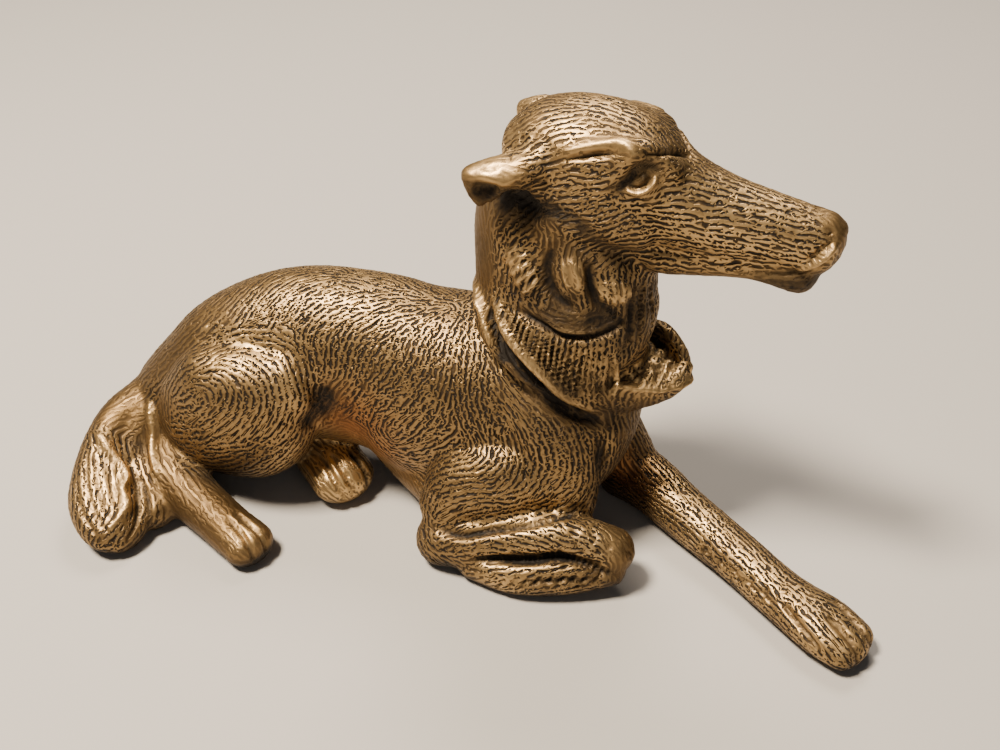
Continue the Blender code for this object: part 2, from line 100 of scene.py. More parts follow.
JAW = [
    (17, 0, 51.5, 5.4, 3.5, 3.5),
    (23, 0, 50.2, 4.4, 3, 3.2),
    (29, 0, 50.6, 3.5, 3, 2.9),
    (35, 0, 50.8, 3.1, 3, 2.2),
    (41, 0, 50.4, 2.9, 3, 2.7),
]
BROW = [
    (17, -5.4, 64.4, 2, 2.2, 2.2),
    (20.5, -4.8, 64.8, 2.3, 2.4, 2.4),
    (24, -3.6, 63, 1.7, 1.7, 1.7),
]
FAR_BROW = [
    (17, 5, 64, 1.9, 2, 2),
    (20.3, 4.3, 64.4, 2.1, 2.2, 2.2),
    (23.2, 3.1, 62.8, 1.5, 1.5, 1.5),
]
CHEEK = [
    (9, -5, 57, 3.5, 5, 5),
    (15, -5.3, 56.5, 3.2, 5, 5),
    (21, -4, 55.5, 2.6, 4, 4),
]
NEAR_EAR = [
    (8, -6.4, 62.3, 2.4, 2.2, 2.4),
    (3.4, -8, 61.2, 2.6, 1.9, 3.7),
    (-0.2, -9.4, 60, 1.8, 1.9, 4.2),
]
FAR_EAR = [
    (8, 6.2, 63.6, 2, 1.6, 2),
    (3.6, 7.2, 63, 2.6, 2, 3.5),
    (0.6, 8, 61.8, 1.8, 2, 4),
]
SHOULDER = [
    (5, -6.5, 28, 5, 6, 6),
    (10, -8, 23, 6, 6.5, 6.5),
    (13.5, -9.5, 15, 5, 6, 5.5),
    (14.5, -10.5, 9.5, 4, 5, 4.6),
]
CHEST_KEEL = [
    (-16, -6, 9, 4, 3, 5),
    (-9, -8.8, 6.8, 4.3, 4, 5),
    (-2, -12, 7, 5, 5, 6),
]
FOLDED_UPPER_ARM = [
    (12, -10.8, 14.5, 4.6, 5.5, 6),
    (6.5, -12.5, 14, 6, 7.5, 8),
    (0.8, -14.2, 11.5, 6.2, 6.8, 7),
    (-1.6, -16.2, 8, 5, 5, 5.5),
]
FOLDED_FOREARM = [
    (-1.6, -19.4, 4.2, 4.1, 4.4, 4.2),
    (5, -19.2, 6.2, 3.9, 4, 4.5),
    (12, -17.3, 8.2, 3.4, 3.4, 4),
    (18.5, -15.6, 8.6, 3.3, 3.2, 4),
    (23.6, -14.4, 6.8, 3.5, 3.5, 4),
]
FOLDED_PAW = [
    (24, -15.6, 4.6, 2.7, 2.8, 2.8),
    (18, -18.5, 4.2, 3.2, 3.3, 3.8),
    (11, -20.7, 3.7, 3.4, 3.2, 3.7),
    (4, -20.6, 3.3, 3, 2.6, 3.3),
]
STRETCHED_UPPER_ARM = [
    (9, 6, 19, 5, 6.5, 6.5),
    (15, 6, 13.5, 5, 6, 6),
    (20, 4.8, 8, 4.4, 5, 5),
]
STRETCHED_FOREARM = [
    (19.5, 4.8, 6.2, 4.6, 5, 6.4),
    (25, 2.6, 5.6, 4.3, 4.6, 5.2),
    (31, -0.8, 4.8, 4, 4.1, 4.6),
    (40.6, -6.1, 4.1, 3.8, 3.6, 4.1),
    (48, -10.8, 3.9, 3.9, 3.2, 3.9),
    (54.4, -14, 3.8, 4.8, 3.1, 3.8),
    (58.6, -15.8, 3.2, 4.5, 2.5, 3.2),
]
NEAR_THIGH = [
    (-47.5, -16.5, 8, 5, 7, 6.5),
    (-43, -16.5, 12, 7, 10.5, 10.5),
    (-37, -16, 16, 7.8, 12.3, 12.3),
    (-31.5, -15, 20, 6.8, 9.8, 10),
    (-27.6, -14, 22.6, 4.6, 6, 6.5),
]
FAR_THIGH = [
    (-51, -9, 9, 6, 7, 9),
    (-44, -4.8, 12, 8.6, 11.5, 12),
    (-36, -2.8, 13, 8.8, 12.5, 13),
    (-29, -2.4, 11.5, 6.8, 9, 11),
]
NEAR_HIND_FOOT = [
    (-52, -20.5, 8, 4, 4.6, 6),
    (-44, -25, 5.3, 4.1, 3.9, 5.3),
    (-35, -28.5, 3.9, 3.8, 3.4, 3.9),
    (-28.4, -30.8, 3.4, 4, 3, 3.4),
]
FAR_HIND_FOOT = [
    (-37, -2, 9.5, 4, 5, 6),
    (-30.2, -7.9, 6.3, 4.8, 4.3, 5.3),
    (-21.8, -13.2, 4.2, 5.2, 4, 4.2),
]
TAIL = [
    (-54.5, -16.5, 12.4, 5, 4.6, 6),
    (-57.1, -21.6, 11, 3.8, 4.2, 6.8),
    (-56.6, -27.4, 8, 4.2, 4.4, 6.5),
    (-53.4, -32.2, 5.6, 5.6, 4.2, 5.4),
    (-49.6, -35, 4, 5.4, 3.6, 4),
    (-47.4, -35.4, 3, 4, 2.8, 3),
]
TAIL_ROOT = [
    (-49, -15.5, 13, 5, 5, 6),
    (-53.6, -19.8, 10.4, 4.6, 4.2, 6),
    (-54, -24.4, 7.6, 4.2, 3.8, 5.5),
]
TAIL_FEATHER = [
    (-53, -19, 8, 3, 4.4, 5),
    (-50.2, -25.5, 5.4, 4, 4, 5),
    (-46.4, -30.9, 3.2, 3.8, 3, 3.2),
]
RUFF = [
    (12.2, -0.3, 43.5, 8.6, 11.5, 11.5),
    (11.2, -0.4, 39, 10, 12.8, 12.2),
    (9.4, -0.5, 35.4, 11.3, 13, 12.8),
    (7.4, -0.6, 32.2, 12, 13, 13),
]
BIB = [
    (11, -0.3, 30, 10.2, 5, 7),
    (16, -0.1, 29.6, 9.2, 4, 7),
    (21, 0, 29.6, 7, 2.8, 6.4),
    (25.5, 0, 29.9, 4.2, 1.6, 4.4),
    (28.2, -0.1, 30.3, 1.8, 0.8, 2.2),
]
BIB_FAR_LIP = [
    (20.4, 7, 32.6, 1.2, 1.2, 3.4),
    (23.6, 5.2, 33.3, 1.1, 1.3, 3.6),
    (26.4, 3.3, 32.2, 1, 1.1, 2.8),
    (28.4, 1.3, 30.7, 0.9, 0.9, 1.4),
]


def other_side(rows):
    """The same rows mirrored across the middle plane: the second number changes its sign."""
    return [(row[0], -row[1]) + tuple(row[2:]) for row in rows]


UPRIGHT = (0, 0, 1)
FACING_BACK = (-1, 0, 0)
# Each roll: its stations, which way is "above the line", and how blunt its two ends are
ROLLS = [
    (TRUNK, UPRIGHT, (0.8, 0.5)),
    (NECK, FACING_BACK, (0.8, 0.8)),
    (HEAD, UPRIGHT, (0.6, 0.85)),
    (JAW, UPRIGHT, (0.6, 0.85)),
    (BROW, UPRIGHT, (0.8, 0.8)),
    (FAR_BROW, UPRIGHT, (0.8, 0.8)),
    (CHEEK, UPRIGHT, (0.8, 0.8)),
    (other_side(CHEEK), UPRIGHT, (0.8, 0.8)),
    (NEAR_EAR, UPRIGHT, (0.6, 0.7)),
    (FAR_EAR, UPRIGHT, (0.6, 0.7)),
    (SHOULDER, (1, 0, 0), (0.8, 0.8)),
    (other_side(SHOULDER), (1, 0, 0), (0.8, 0.8)),
    (CHEST_KEEL, UPRIGHT, (0.8, 0.8)),
    (FOLDED_UPPER_ARM, UPRIGHT, (0.8, 0.8)),
    (FOLDED_FOREARM, UPRIGHT, (0.95, 0.95)),
    (FOLDED_PAW, UPRIGHT, (0.8, 0.8)),
    (STRETCHED_UPPER_ARM, (0, 1, 0), (0.8, 0.8)),
    (STRETCHED_FOREARM, UPRIGHT, (0.8, 0.9)),
    (NEAR_THIGH, UPRIGHT, (0.8, 0.8)),
    (FAR_THIGH, UPRIGHT, (0.8, 0.8)),
    (NEAR_HIND_FOOT, UPRIGHT, (0.8, 0.95)),
    (FAR_HIND_FOOT, UPRIGHT, (0.8, 0.95)),
    (TAIL, UPRIGHT, (0.8, 0.8)),
    (TAIL_ROOT, UPRIGHT, (0.8, 0.8)),
    (TAIL_FEATHER, UPRIGHT, (0.8, 0.8)),
    (RUFF, FACING_BACK, (0.3, 0.12)),
    (BIB, UPRIGHT, (0.3, 0.4)),
    (BIB_FAR_LIP, UPRIGHT, (0.8, 0.8)),
]
print(len(ROLLS), "rolls with", sum(len(roll[0]) for roll in ROLLS), "stations")

# %% [markdown]
# ## From a table to a closed roll
# A smooth line is drawn through the stations (a Catmull-Rom spline, which passes through every row), and an
# oval is carried along it.  The oval's upper half uses the rise and its lower half the drop, so a belly may
# hang deeper than a back rises.  Rounded ends close the roll.

# %% Splines and rolls as whole arrays
SIDES = 40
STEPS = 6


def smooth_rows(rows, steps):
    """Rows along a Catmull-Rom spline: each span is a cubic of its four nearest rows."""
    p = np.array(rows, float)
    p = np.vstack([2 * p[0] - p[1], p, 2 * p[-1] - p[-2]])
    t = np.linspace(0, 1, steps, endpoint=False)[None, :, None]
    a, b, c, d = [q[:, None] for q in (p[:-3], p[1:-2], p[2:-1], p[3:])]
    bend = (c - a) * t + (2 * a - 5 * b + 4 * c - d) * t ** 2 + (3 * b - a - 3 * c + d) * t ** 3
    return np.vstack([(b + 0.5 * bend).reshape(-1, p.shape[1]), p[-2][None]])


def unit_rows(v):
    """Each row divided by its own length."""
    return v / np.maximum(np.linalg.norm(v, axis=-1, keepdims=True), 1e-12)


def roll_grid(stations, up, blunt):
    """Point(i, a) = middle(i) + side * width * cos a + top * (rise or drop) * sin a, closed by poles."""
    rows = smooth_rows(stations, STEPS)
    middle, size = rows[:, :3], np.maximum(rows[:, 3:], 0.05)
    along = unit_rows(np.gradient(middle, axis=0))
    turn = np.linspace(0, math.pi / 2, 7)[1:, None]
    start = middle[0] - along[0] * blunt[0] * size[0].min() * np.sin(turn[::-1])
    finish = middle[-1] + along[-1] * blunt[1] * size[-1].min() * np.sin(turn)
    middle = np.vstack([start, middle, finish])
    size = np.vstack([size[0] * np.cos(turn[::-1]), size, size[-1] * np.cos(turn)])
    along = np.vstack([np.repeat(along[:1], len(turn), 0), along, np.repeat(along[-1:], len(turn), 0)])
    side = unit_rows(np.cross(np.array(up, float), along))
    top = np.cross(along, side)
    angle = np.linspace(0, 2 * math.pi, SIDES, endpoint=False)
    height = np.where(np.sin(angle) > 0, size[:, 1:2], size[:, 2:3]) * np.sin(angle)
    width = size[:, 0:1] * np.cos(angle)
    return middle[:, None] + side[:, None] * width[..., None] + top[:, None] * height[..., None]


def grid_faces(rings, sides, first):
    """Four-sided faces between neighbouring rings, numbered from the grid's first point."""
    i, k = np.meshgrid(np.arange(rings - 1), np.arange(sides), indexing="ij")
    n = (k + 1) % sides
    faces = np.stack([i * sides + k, (i + 1) * sides + k, (i + 1) * sides + n, i * sides + n], -1)
    return faces.reshape(-1, 4) + first


points, faces, total = [], [], 0
for stations, up, blunt in ROLLS:
    grid = roll_grid(stations, up, blunt)
    points.append(grid.reshape(-1, 3))
    faces.append(grid_faces(grid.shape[0], SIDES, total))
    total += len(points[-1])
points, faces = np.vstack(points), np.vstack(faces)
clay = bpy.data.meshes.new("clay_rolls")
clay.from_pydata(points.tolist(), [], faces.tolist())
clay_object = bpy.data.objects.new("clay_rolls", clay)
bpy.context.scene.collection.objects.link(clay_object)
print("clay rolls:", len(points), "points,", len(faces), "faces")

# %% [markdown]
# ## Pressing the clay together
# Separate rolls still cross each other.  Boolean unions would keep every sharp seam, and a real modeller's
# thumb doesn't.  A voxel remesh makes one closed skin of them all, and a few rounds of smoothing press the
# seams into soft valleys.

# %% One skin from all the rolls
CLAY_GRAIN = 0.44
SOFTENING = 10
weld = clay_object.modifiers.new("press", "REMESH")
weld.mode = "VOXEL"
weld.voxel_size = CLAY_GRAIN
soften = clay_object.modifiers.new("soften", "SMOOTH")
soften.factor = 0.5
soften.iterations = SOFTENING


def baked_mesh(thing, name):
    """The mesh as its modifiers leave it, as a new mesh of its own."""
    graph = bpy.context.evaluated_depsgraph_get()
    mesh = bpy.data.meshes.new_from_object(thing.evaluated_get(graph))
    mesh.name = name
    return mesh


def read_vectors(collection, key, width, kind=float):
    """One number array with a row for each element."""
    values = np.empty(len(collection) * width, kind)
    collection.foreach_get(key, values)
    return values.reshape(-1, width)


skin = baked_mesh(clay_object, "hound_skin")
bpy.data.objects.remove(clay_object)
places = read_vectors(skin.vertices, "co", 3)
print("one skin:", len(places), "points, from", places.min(0).round(1), "to", places.max(0).round(1))

# %% [markdown]
# ## Carving with broad strokes
# Eye sockets, the mouth, toes, curls and the rim of the ruff are cut or raised with a round tool.  Each
# stroke is a short line that clings to the skin.  The skin moves along its own normals by a bell-shaped
# section, so a stroke has soft shoulders and fades out at both ends, as a gouge leaves it.  The strokes that
# the photo shows are noted by its pixels, and the photo's own camera finds their places on the skin.

# %% The photo's camera turns a pixel into a place on the skin
ROUND = math.radians(22)
RISE = math.radians(38)
HALF_VIEW = math.radians(25)
AWAY = 165
LOOK_HEIGHT = 22
BACK = Vector((math.sin(ROUND) * math.cos(RISE), -math.cos(ROUND) * math.cos(RISE), math.sin(RISE)))
RIGHT = Vector((math.cos(ROUND), math.sin(ROUND), 0))
UP = BACK.cross(RIGHT)
EYE_PLACE = Vector((0, 0, LOOK_HEIGHT)) + BACK * AWAY
HALF_WIDTH, HALF_HEIGHT = 500, 375
PIXELS_AWAY = HALF_WIDTH / math.tan(HALF_VIEW)


def skin_tree(mesh, at):
    """A search tree over the skin's faces, to find the nearest place on it."""
    return BVHTree.FromPolygons(at.tolist(), [tuple(face.vertices) for face in mesh.polygons])


def seen_on(tree, pixels):
    """Where the ray through each pixel of the 1000 x 750 photo first meets the skin, if it does."""
    rays = [RIGHT * (u - HALF_WIDTH) + UP * (HALF_HEIGHT - v) - BACK * PIXELS_AWAY for u, v in pixels]
    found = [tree.ray_cast(EYE_PLACE, ray.normalized())[0] for ray in rays]
    return [tuple(place) for place in found if place is not None]


# %% Strokes read off the photo: width, depth (raised if positive), pixels
HEAD_PIXELS = [
    # eye socket, eyeball, lower lid and the dark line inside it
    (1.0, -1.0, [(615, 194), (626, 183), (637, 171), (650, 168), (664, 173)]),
    (0.6, 0.3, [(641, 179), (646, 178)]),
    (0.36, 0.75, [(624, 190), (636, 193), (647, 189), (654, 182), (657, 177)]),
    (0.32, -0.5, [(628, 187), (638, 189), (646, 184), (651, 177)]),
    # brow ridge, the line under it, the slope beside the socket and the crease over the bridge
    (0.8, 0.7, [(562, 153), (590, 147), (617, 143), (630, 148), (635, 158)]),
    (0.4, -0.8, [(563, 160), (585, 156), (600, 154), (616, 154)]),
    (1.0, 0.35, [(633, 162), (628, 170), (617, 181)]),
    (0.4, -0.8, [(646, 156), (660, 154), (678, 153), (693, 157)]),
    # lip, the line above it, the mouth and the nostril
    (0.45, 0.85, [(836, 246), (830, 252), (823, 258), (815, 263), (807, 266), (797, 269)]),
    (0.32, -0.5, [(834, 242), (829, 245), (822, 249), (814, 257), (807, 261)]),
    (0.36, -0.45, [(833, 255), (826, 262), (816, 268), (803, 271), (788, 273), (765, 274), (740, 273)]),
    (0.5, -0.6, [(829, 231), (832, 236)]),
    # fold of the ear, its cup, and the recess that runs from it behind the cheek and along the jaw
    (0.7, 0.5, [(462, 177), (476, 176), (494, 179), (505, 183), (516, 178), (530, 172)]),
    (1.5, -1.8, [(470, 190), (484, 195), (500, 196)]),
    (1.4, -1.1, [(505, 196), (525, 203), (545, 210)]),
    (1.6, -0.7, [(512, 222), (530, 214), (555, 214), (575, 225), (590, 240)]),
    (1.2, -0.5, [(590, 238), (620, 255), (645, 268), (662, 274)]),
    (1.1, 0.5, [(551, 232), (549, 244)]),
]
NECK_PIXELS = [
    # three curls, the cuts between them and the hollow under the last
    (1.7, 0.7, [(516, 252), (522, 275), (533, 294)]),
    (0.8, -1.1, [(553, 248), (546, 268), (549, 285), (558, 300), (574, 309)]),
    (1.3, 0.7, [(570, 256), (572, 278), (578, 296)]),
    (0.8, -0.9, [(589, 262), (590, 285), (598, 303), (612, 312)]),
    (1.7, 0.6, [(606, 282), (617, 292), (626, 300)]),
    (1.6, -0.8, [(585, 322), (605, 322), (622, 312)]),
    # crease that ends the curls, its thin edge, and the strands beside the throat
    (0.5, -1.0, [(518, 310), (532, 319), (546, 327), (559, 335), (578, 338), (598, 336), (614, 330),
                 (624, 320)]),
    (0.35, 0.45, [(546, 322), (560, 331), (578, 334), (598, 332)]),
    (0.6, -0.8, [(634, 285), (632, 320), (628, 345)]),
    (0.4, -0.6, [(642, 282), (641, 320), (637, 345)]),
    (0.4, -0.5, [(650, 282), (650, 335)]),
    # rim of the ruff, its undercut and the bright strip beside it
    (0.7, 0.8, [(494, 300), (497, 317), (510, 340), (524, 357), (542, 376), (559, 394), (575, 404),
                (594, 412)]),
    (1.05, -1.8, [(490, 308), (494, 332), (502, 349), (518, 367), (537, 386), (553, 400), (572, 413),
                  (600, 423)]),
    (0.6, 0.8, [(479, 300), (482, 314), (487, 333), (494, 346)]),
    # seam, rim, hollow and cross cuts of the bib
    (0.9, -0.6, [(619, 352), (630, 352)]),
    (0.36, 0.75, [(615, 357), (616, 373), (617, 382), (612, 396)]),
    (0.3, -0.6, [(610, 357), (611, 375), (609, 392)]),
    (0.42, 0.75, [(617, 386), (633, 389), (647, 389), (659, 390), (674, 387), (685, 383), (689, 376)]),
]
FRINGE_TOP = [(502, 298), (511, 313), (528, 325), (546, 333), (566, 342), (588, 345), (608, 346)]
FRINGE_FOOT = [(500, 318), (511, 334), (526, 352), (545, 371), (563, 388), (586, 400), (606, 404)]
FRINGE_STROKES = 22
CURL_RIDGES = [
    [(505, 258), (513, 251), (524, 248)], [(508, 266), (518, 258), (529, 255)],
    [(512, 274), (522, 267), (533, 262)], [(517, 283), (527, 275), (537, 270)],
    [(524, 291), (533, 284), (541, 279)], [(565, 262), (568, 275), (572, 287)],
    [(572, 260), (575, 274), (578, 288)], [(580, 263), (582, 276), (584, 290)],
    [(599, 284), (602, 306)], [(606, 281), (609, 308)], [(613, 280), (616, 308)], [(620, 281), (622, 304)],
    [(627, 283), (628, 300)],
]
BIB_CUTS = [
    [(624, 372), (640, 384)], [(634, 364), (654, 383)], [(645, 357), (669, 380)], [(655, 349), (679, 373)],
    [(640, 384), (650, 362)], [(655, 384), (664, 360)], [(668, 380), (674, 361)],
]
FRINGE_LEAN = 0.05
top, foot = smooth_rows(FRINGE_TOP, 12), smooth_rows(FRINGE_FOOT, 12)
for share in np.linspace(0.03, 0.97, FRINGE_STROKES):
    # ridges of the fringe lean back as they come down; a cut lies between each and the next
    for raise_by, width, later in ((0.6, 0.36, 0.0), (-0.8, 0.3, 0.5 / FRINGE_STROKES)):
        upper = top[int((share + later) * (len(top) - 1) * 0.99)]
        lower = foot[int(max(share + later - FRINGE_LEAN, 0) * (len(foot) - 1) * 0.99)]
        NECK_PIXELS.append((width, raise_by, [tuple(upper), tuple(lower)]))
for line in CURL_RIDGES:
    NECK_PIXELS.append((0.4, 0.55, line))
for line in BIB_CUTS:
    NECK_PIXELS.append((0.3, -0.45, line))
BODY_PIXELS = [
    # ridge of the tail's feathering and the long locks on both sides of it
    (0.75, 1.0, [(89, 420), (98, 433), (108, 448), (125, 474), (122, 490), (126, 507), (108, 531)]),
    (0.4, -0.35, [(82, 440), (76, 475), (82, 512), (100, 540)]),
    (0.4, -0.4, [(88, 442), (86, 478), (93, 510), (108, 534)]),
    (0.4, -0.4, [(95, 450), (98, 480), (104, 503), (114, 518)]),
    (0.4, -0.35, [(103, 458), (110, 480), (114, 497), (119, 508)]),
    (0.45, -0.6, [(133, 472), (138, 495), (137, 520), (126, 540)]),
    (0.45, -0.6, [(140, 478), (148, 500), (149, 520)]),
    # hollow between the tail and the hock
    (1.5, -0.5, [(128, 438), (139, 446), (143, 458)]),
]
for across in range(5):
    # facets cut crosswise into the lower side of the stretched leg
    u, v = 706 + 15 * across, 552 + 11 * across
    BODY_PIXELS.append((0.35, -0.5, [(u - 7, v - 7), (u + 7, v + 8)]))
    BODY_PIXELS.append((0.3, -0.4, [(u + 3, v - 8), (u - 6, v + 5)]))
for across in range(10):
    # short slanted strokes on the lower band of the folded paw
    u, v = 488 + 12 * across, 584 - 0.4 * across
    BODY_PIXELS.append((0.35, -0.45, [(u - 4, v + 5), (u + 5, v - 6)]))

# %% Strokes given in the figure's own units
BODY_STROKES = [
    # tip of the nose
    (1.5, 0.3, [(44.8, 0, 58.4), (45.6, 0, 57)]),
    # crease over the folded forearm, the fold under it and the line of the paw
    (0.6, -0.9, [(-1, -21.5, 8.4), (2.5, -21.8, 8.8), (6.7, -20.5, 10.2), (12.1, -18.4, 11.5),
                 (18.4, -13.5, 11.6)]),
    (0.6, -1.4, [(5, -22.8, 5.8), (9, -22.4, 6.8), (13.2, -21.2, 7.4), (18.2, -19, 7.6), (24.8, -17.6, 5.4)]),
    (0.5, -0.5, [(12.4, -22.9, 4.4), (17.7, -20.7, 5), (22, -18.6, 5)]),
    # edge of the breast muscle
    (0.9, -0.8, [(18.8, -8.2, 22), (19.3, -8.6, 18.3), (19.5, -9, 14.7), (19.2, -11, 11.5)]),
    # tendon of the hock, the hollow beside it and the hollow of the flank
    (0.7, 0.9, [(-51.5, -19.5, 15.6), (-50.1, -22.3, 11.8), (-48.4, -25.3, 9.8), (-46.4, -27.4, 8)]),
    (1.9, -1, [(-22.4, -14.6, 24), (-22.6, -15.4, 20), (-24.6, -17, 16)]),
    # toes of the stretched forepaw
    (0.45, -0.8, [(48.5, -14.3, 6.1), (50.9, -16.5, 5.6), (53.4, -18.3, 4.8), (54.8, -19.1, 4)]),
    (0.45, -0.8, [(54.5, -15.1, 6.7), (56.5, -16, 6.3), (58.5, -17.2, 5.3), (60, -18.4, 3)]),
    (0.45, -0.8, [(55, -11.3, 6.4), (57.9, -13.2, 5.9), (60, -14.7, 5.2), (61.4, -15, 3)]),
    # toes of the far hind paw
    (0.45, -0.7, [(-25.7, -13.3, 7.7), (-23.7, -14.5, 7.2), (-21.6, -15.6, 5.4), (-20, -16.4, 3)]),
    (0.45, -0.7, [(-23.7, -13, 7.7), (-21.3, -14.3, 6.4), (-19.4, -15, 3.6)]),
    (0.45, -0.7, [(-21.9, -11.3, 7.5), (-19.7, -12.2, 6), (-18.6, -12.6, 3)]),
    (0.4, 0.35, [(-28.5, -15.5, 7.5), (-25.5, -15.6, 6), (-22.3, -16.4, 4.6)]),
    # toes of the near hind paw
    (0.45, -0.7, [(-32, -28.3, 6.7), (-28.7, -29.5, 6.3), (-26.2, -30.4, 5), (-25, -31, 3)]),
    (0.45, -0.7, [(-32.3, -30, 6.8), (-29.4, -31.3, 6.4), (-27.2, -32.5, 5.4), (-26, -33.4, 3)]),
]

# %% The ruff's rim is a tilted ring
RUFF_CENTRE = (7.4, -0.6, 32.2)
RUFF_HALF_WIDTH = 12.4
RUFF_HALF_DEPTH = 13.2
RUFF_TILT = math.radians(32.5)
ROUND_THE_BACK = np.radians(np.arange(140, 181, 10))


def ruff_line(angles, above_rim):
    """Points round the ring: x and z turn with the tilt, and the ring shrinks a little above the rim."""
    shrink = 1 - 0.035 * max(above_rim, 0)
    forward = RUFF_HALF_DEPTH * shrink * np.cos(angles)
    x = RUFF_CENTRE[0] + forward * math.cos(RUFF_TILT) + above_rim * math.sin(RUFF_TILT)
    y = RUFF_CENTRE[1] + RUFF_HALF_WIDTH * shrink * np.sin(angles)
    z = RUFF_CENTRE[2] - forward * math.sin(RUFF_TILT) + above_rim * math.cos(RUFF_TILT)
    return np.stack([x, y, z], -1)


first_tree = skin_tree(skin, places)
strokes = list(BODY_STROKES)
for width, depth, pixels in HEAD_PIXELS + NECK_PIXELS:
    line = seen_on(first_tree, pixels)
    strokes.append((width, depth, line))
    strokes.append((width, depth, other_side(line)))
for width, depth, pixels in BODY_PIXELS:
    strokes.append((width, depth, seen_on(first_tree, pixels)))
strokes = [stroke for stroke in strokes if len(stroke[2]) > 1]
for side in (-1, 1):
    strokes.append((0.75, 0.7, ruff_line(side * ROUND_THE_BACK, 2.5)))
    strokes.append((1.0, -1.2, ruff_line(side * ROUND_THE_BACK, 0.5)))
FINE_WIDTH = 0.9
broad_strokes = [stroke for stroke in strokes if stroke[0] >= FINE_WIDTH]
fine_strokes = [stroke for stroke in strokes if stroke[0] < FINE_WIDTH]
print(len(broad_strokes), "broad strokes,", len(fine_strokes), "fine ones")

# %% The carving tool
STROKE_REACH = 2.6
END_SHARE = 0.25


def stroke_push(at, tree, strokes):
    """Sum over strokes of depth * fade * exp(-(distance / width)^2), fading to 1/4 at both ends."""
    push = np.zeros(len(at))
    for width, depth, line in strokes:
        line = smooth_rows(line, 8)
        line = np.array([tree.find_nearest(Vector(p))[0] for p in line])
        reach = STROKE_REACH * width
        near = np.where(((at > line.min(0) - reach) & (at < line.max(0) + reach)).all(1))[0]
        if not len(near):
            continue
        gap = np.linalg.norm(at[near, None] - line[None], axis=2)
        nearest = gap.argmin(1)
        fade = np.sin(np.linspace(0, math.pi, len(line)))[nearest] ** 0.5
        fade = END_SHARE + (1 - END_SHARE) * fade
        push[near] += depth * fade * np.exp(-(gap[np.arange(len(near)), nearest] / width) ** 2)
    return push


normals = read_vectors(skin.vertex_normals, "vector", 3)
broad_push = stroke_push(places, first_tree, broad_strokes)
places = places + normals * broad_push[:, None]

# %% [markdown]
# ## Settling on the shelf
# The casting rests on its elbows, haunch, paws and tail, filed flat underneath.  Every point below the
# filing height is lifted onto it.  Then the figure is moved and sized to stand exactly where the solid does.

# %% File the underside flat and take the solid's place
SETTLE_DEPTH = 0.6
places[:, 2] = np.maximum(places[:, 2] - SETTLE_DEPTH, 0)
low, high = places.min(0), places.max(0)
UNIT = float((node_high - node_low)[0] / (high - low)[0])
shift = (node_low + node_high) / 2 / UNIT - (low + high) / 2
shift[2] = node_low[2] / UNIT
places += shift
TO_FIGURE = shift - (0, 0, SETTLE_DEPTH)
skin.vertices.foreach_set("co", places.ravel())
skin.update()
print("a unit is", round(UNIT * 1000, 4), "mm; moved by", TO_FIGURE.round(2), "units")
print("skin box", (places.min(0) * UNIT).round(4), (places.max(0) * UNIT).round(4))

# %% [markdown]
# ## Which way the hair lies
# A chaser first sketches how the coat flows: back along the spine and down over the ribs, round the haunch
# like a fingerprint, over the folded arm in long waves, along the muzzle and down the leg.  Painting this by
# hand on a map would be slow to change, so a few dozen guide lines carry it.  Each has its own spacing and
# depth of cut, and everything between them is blended.

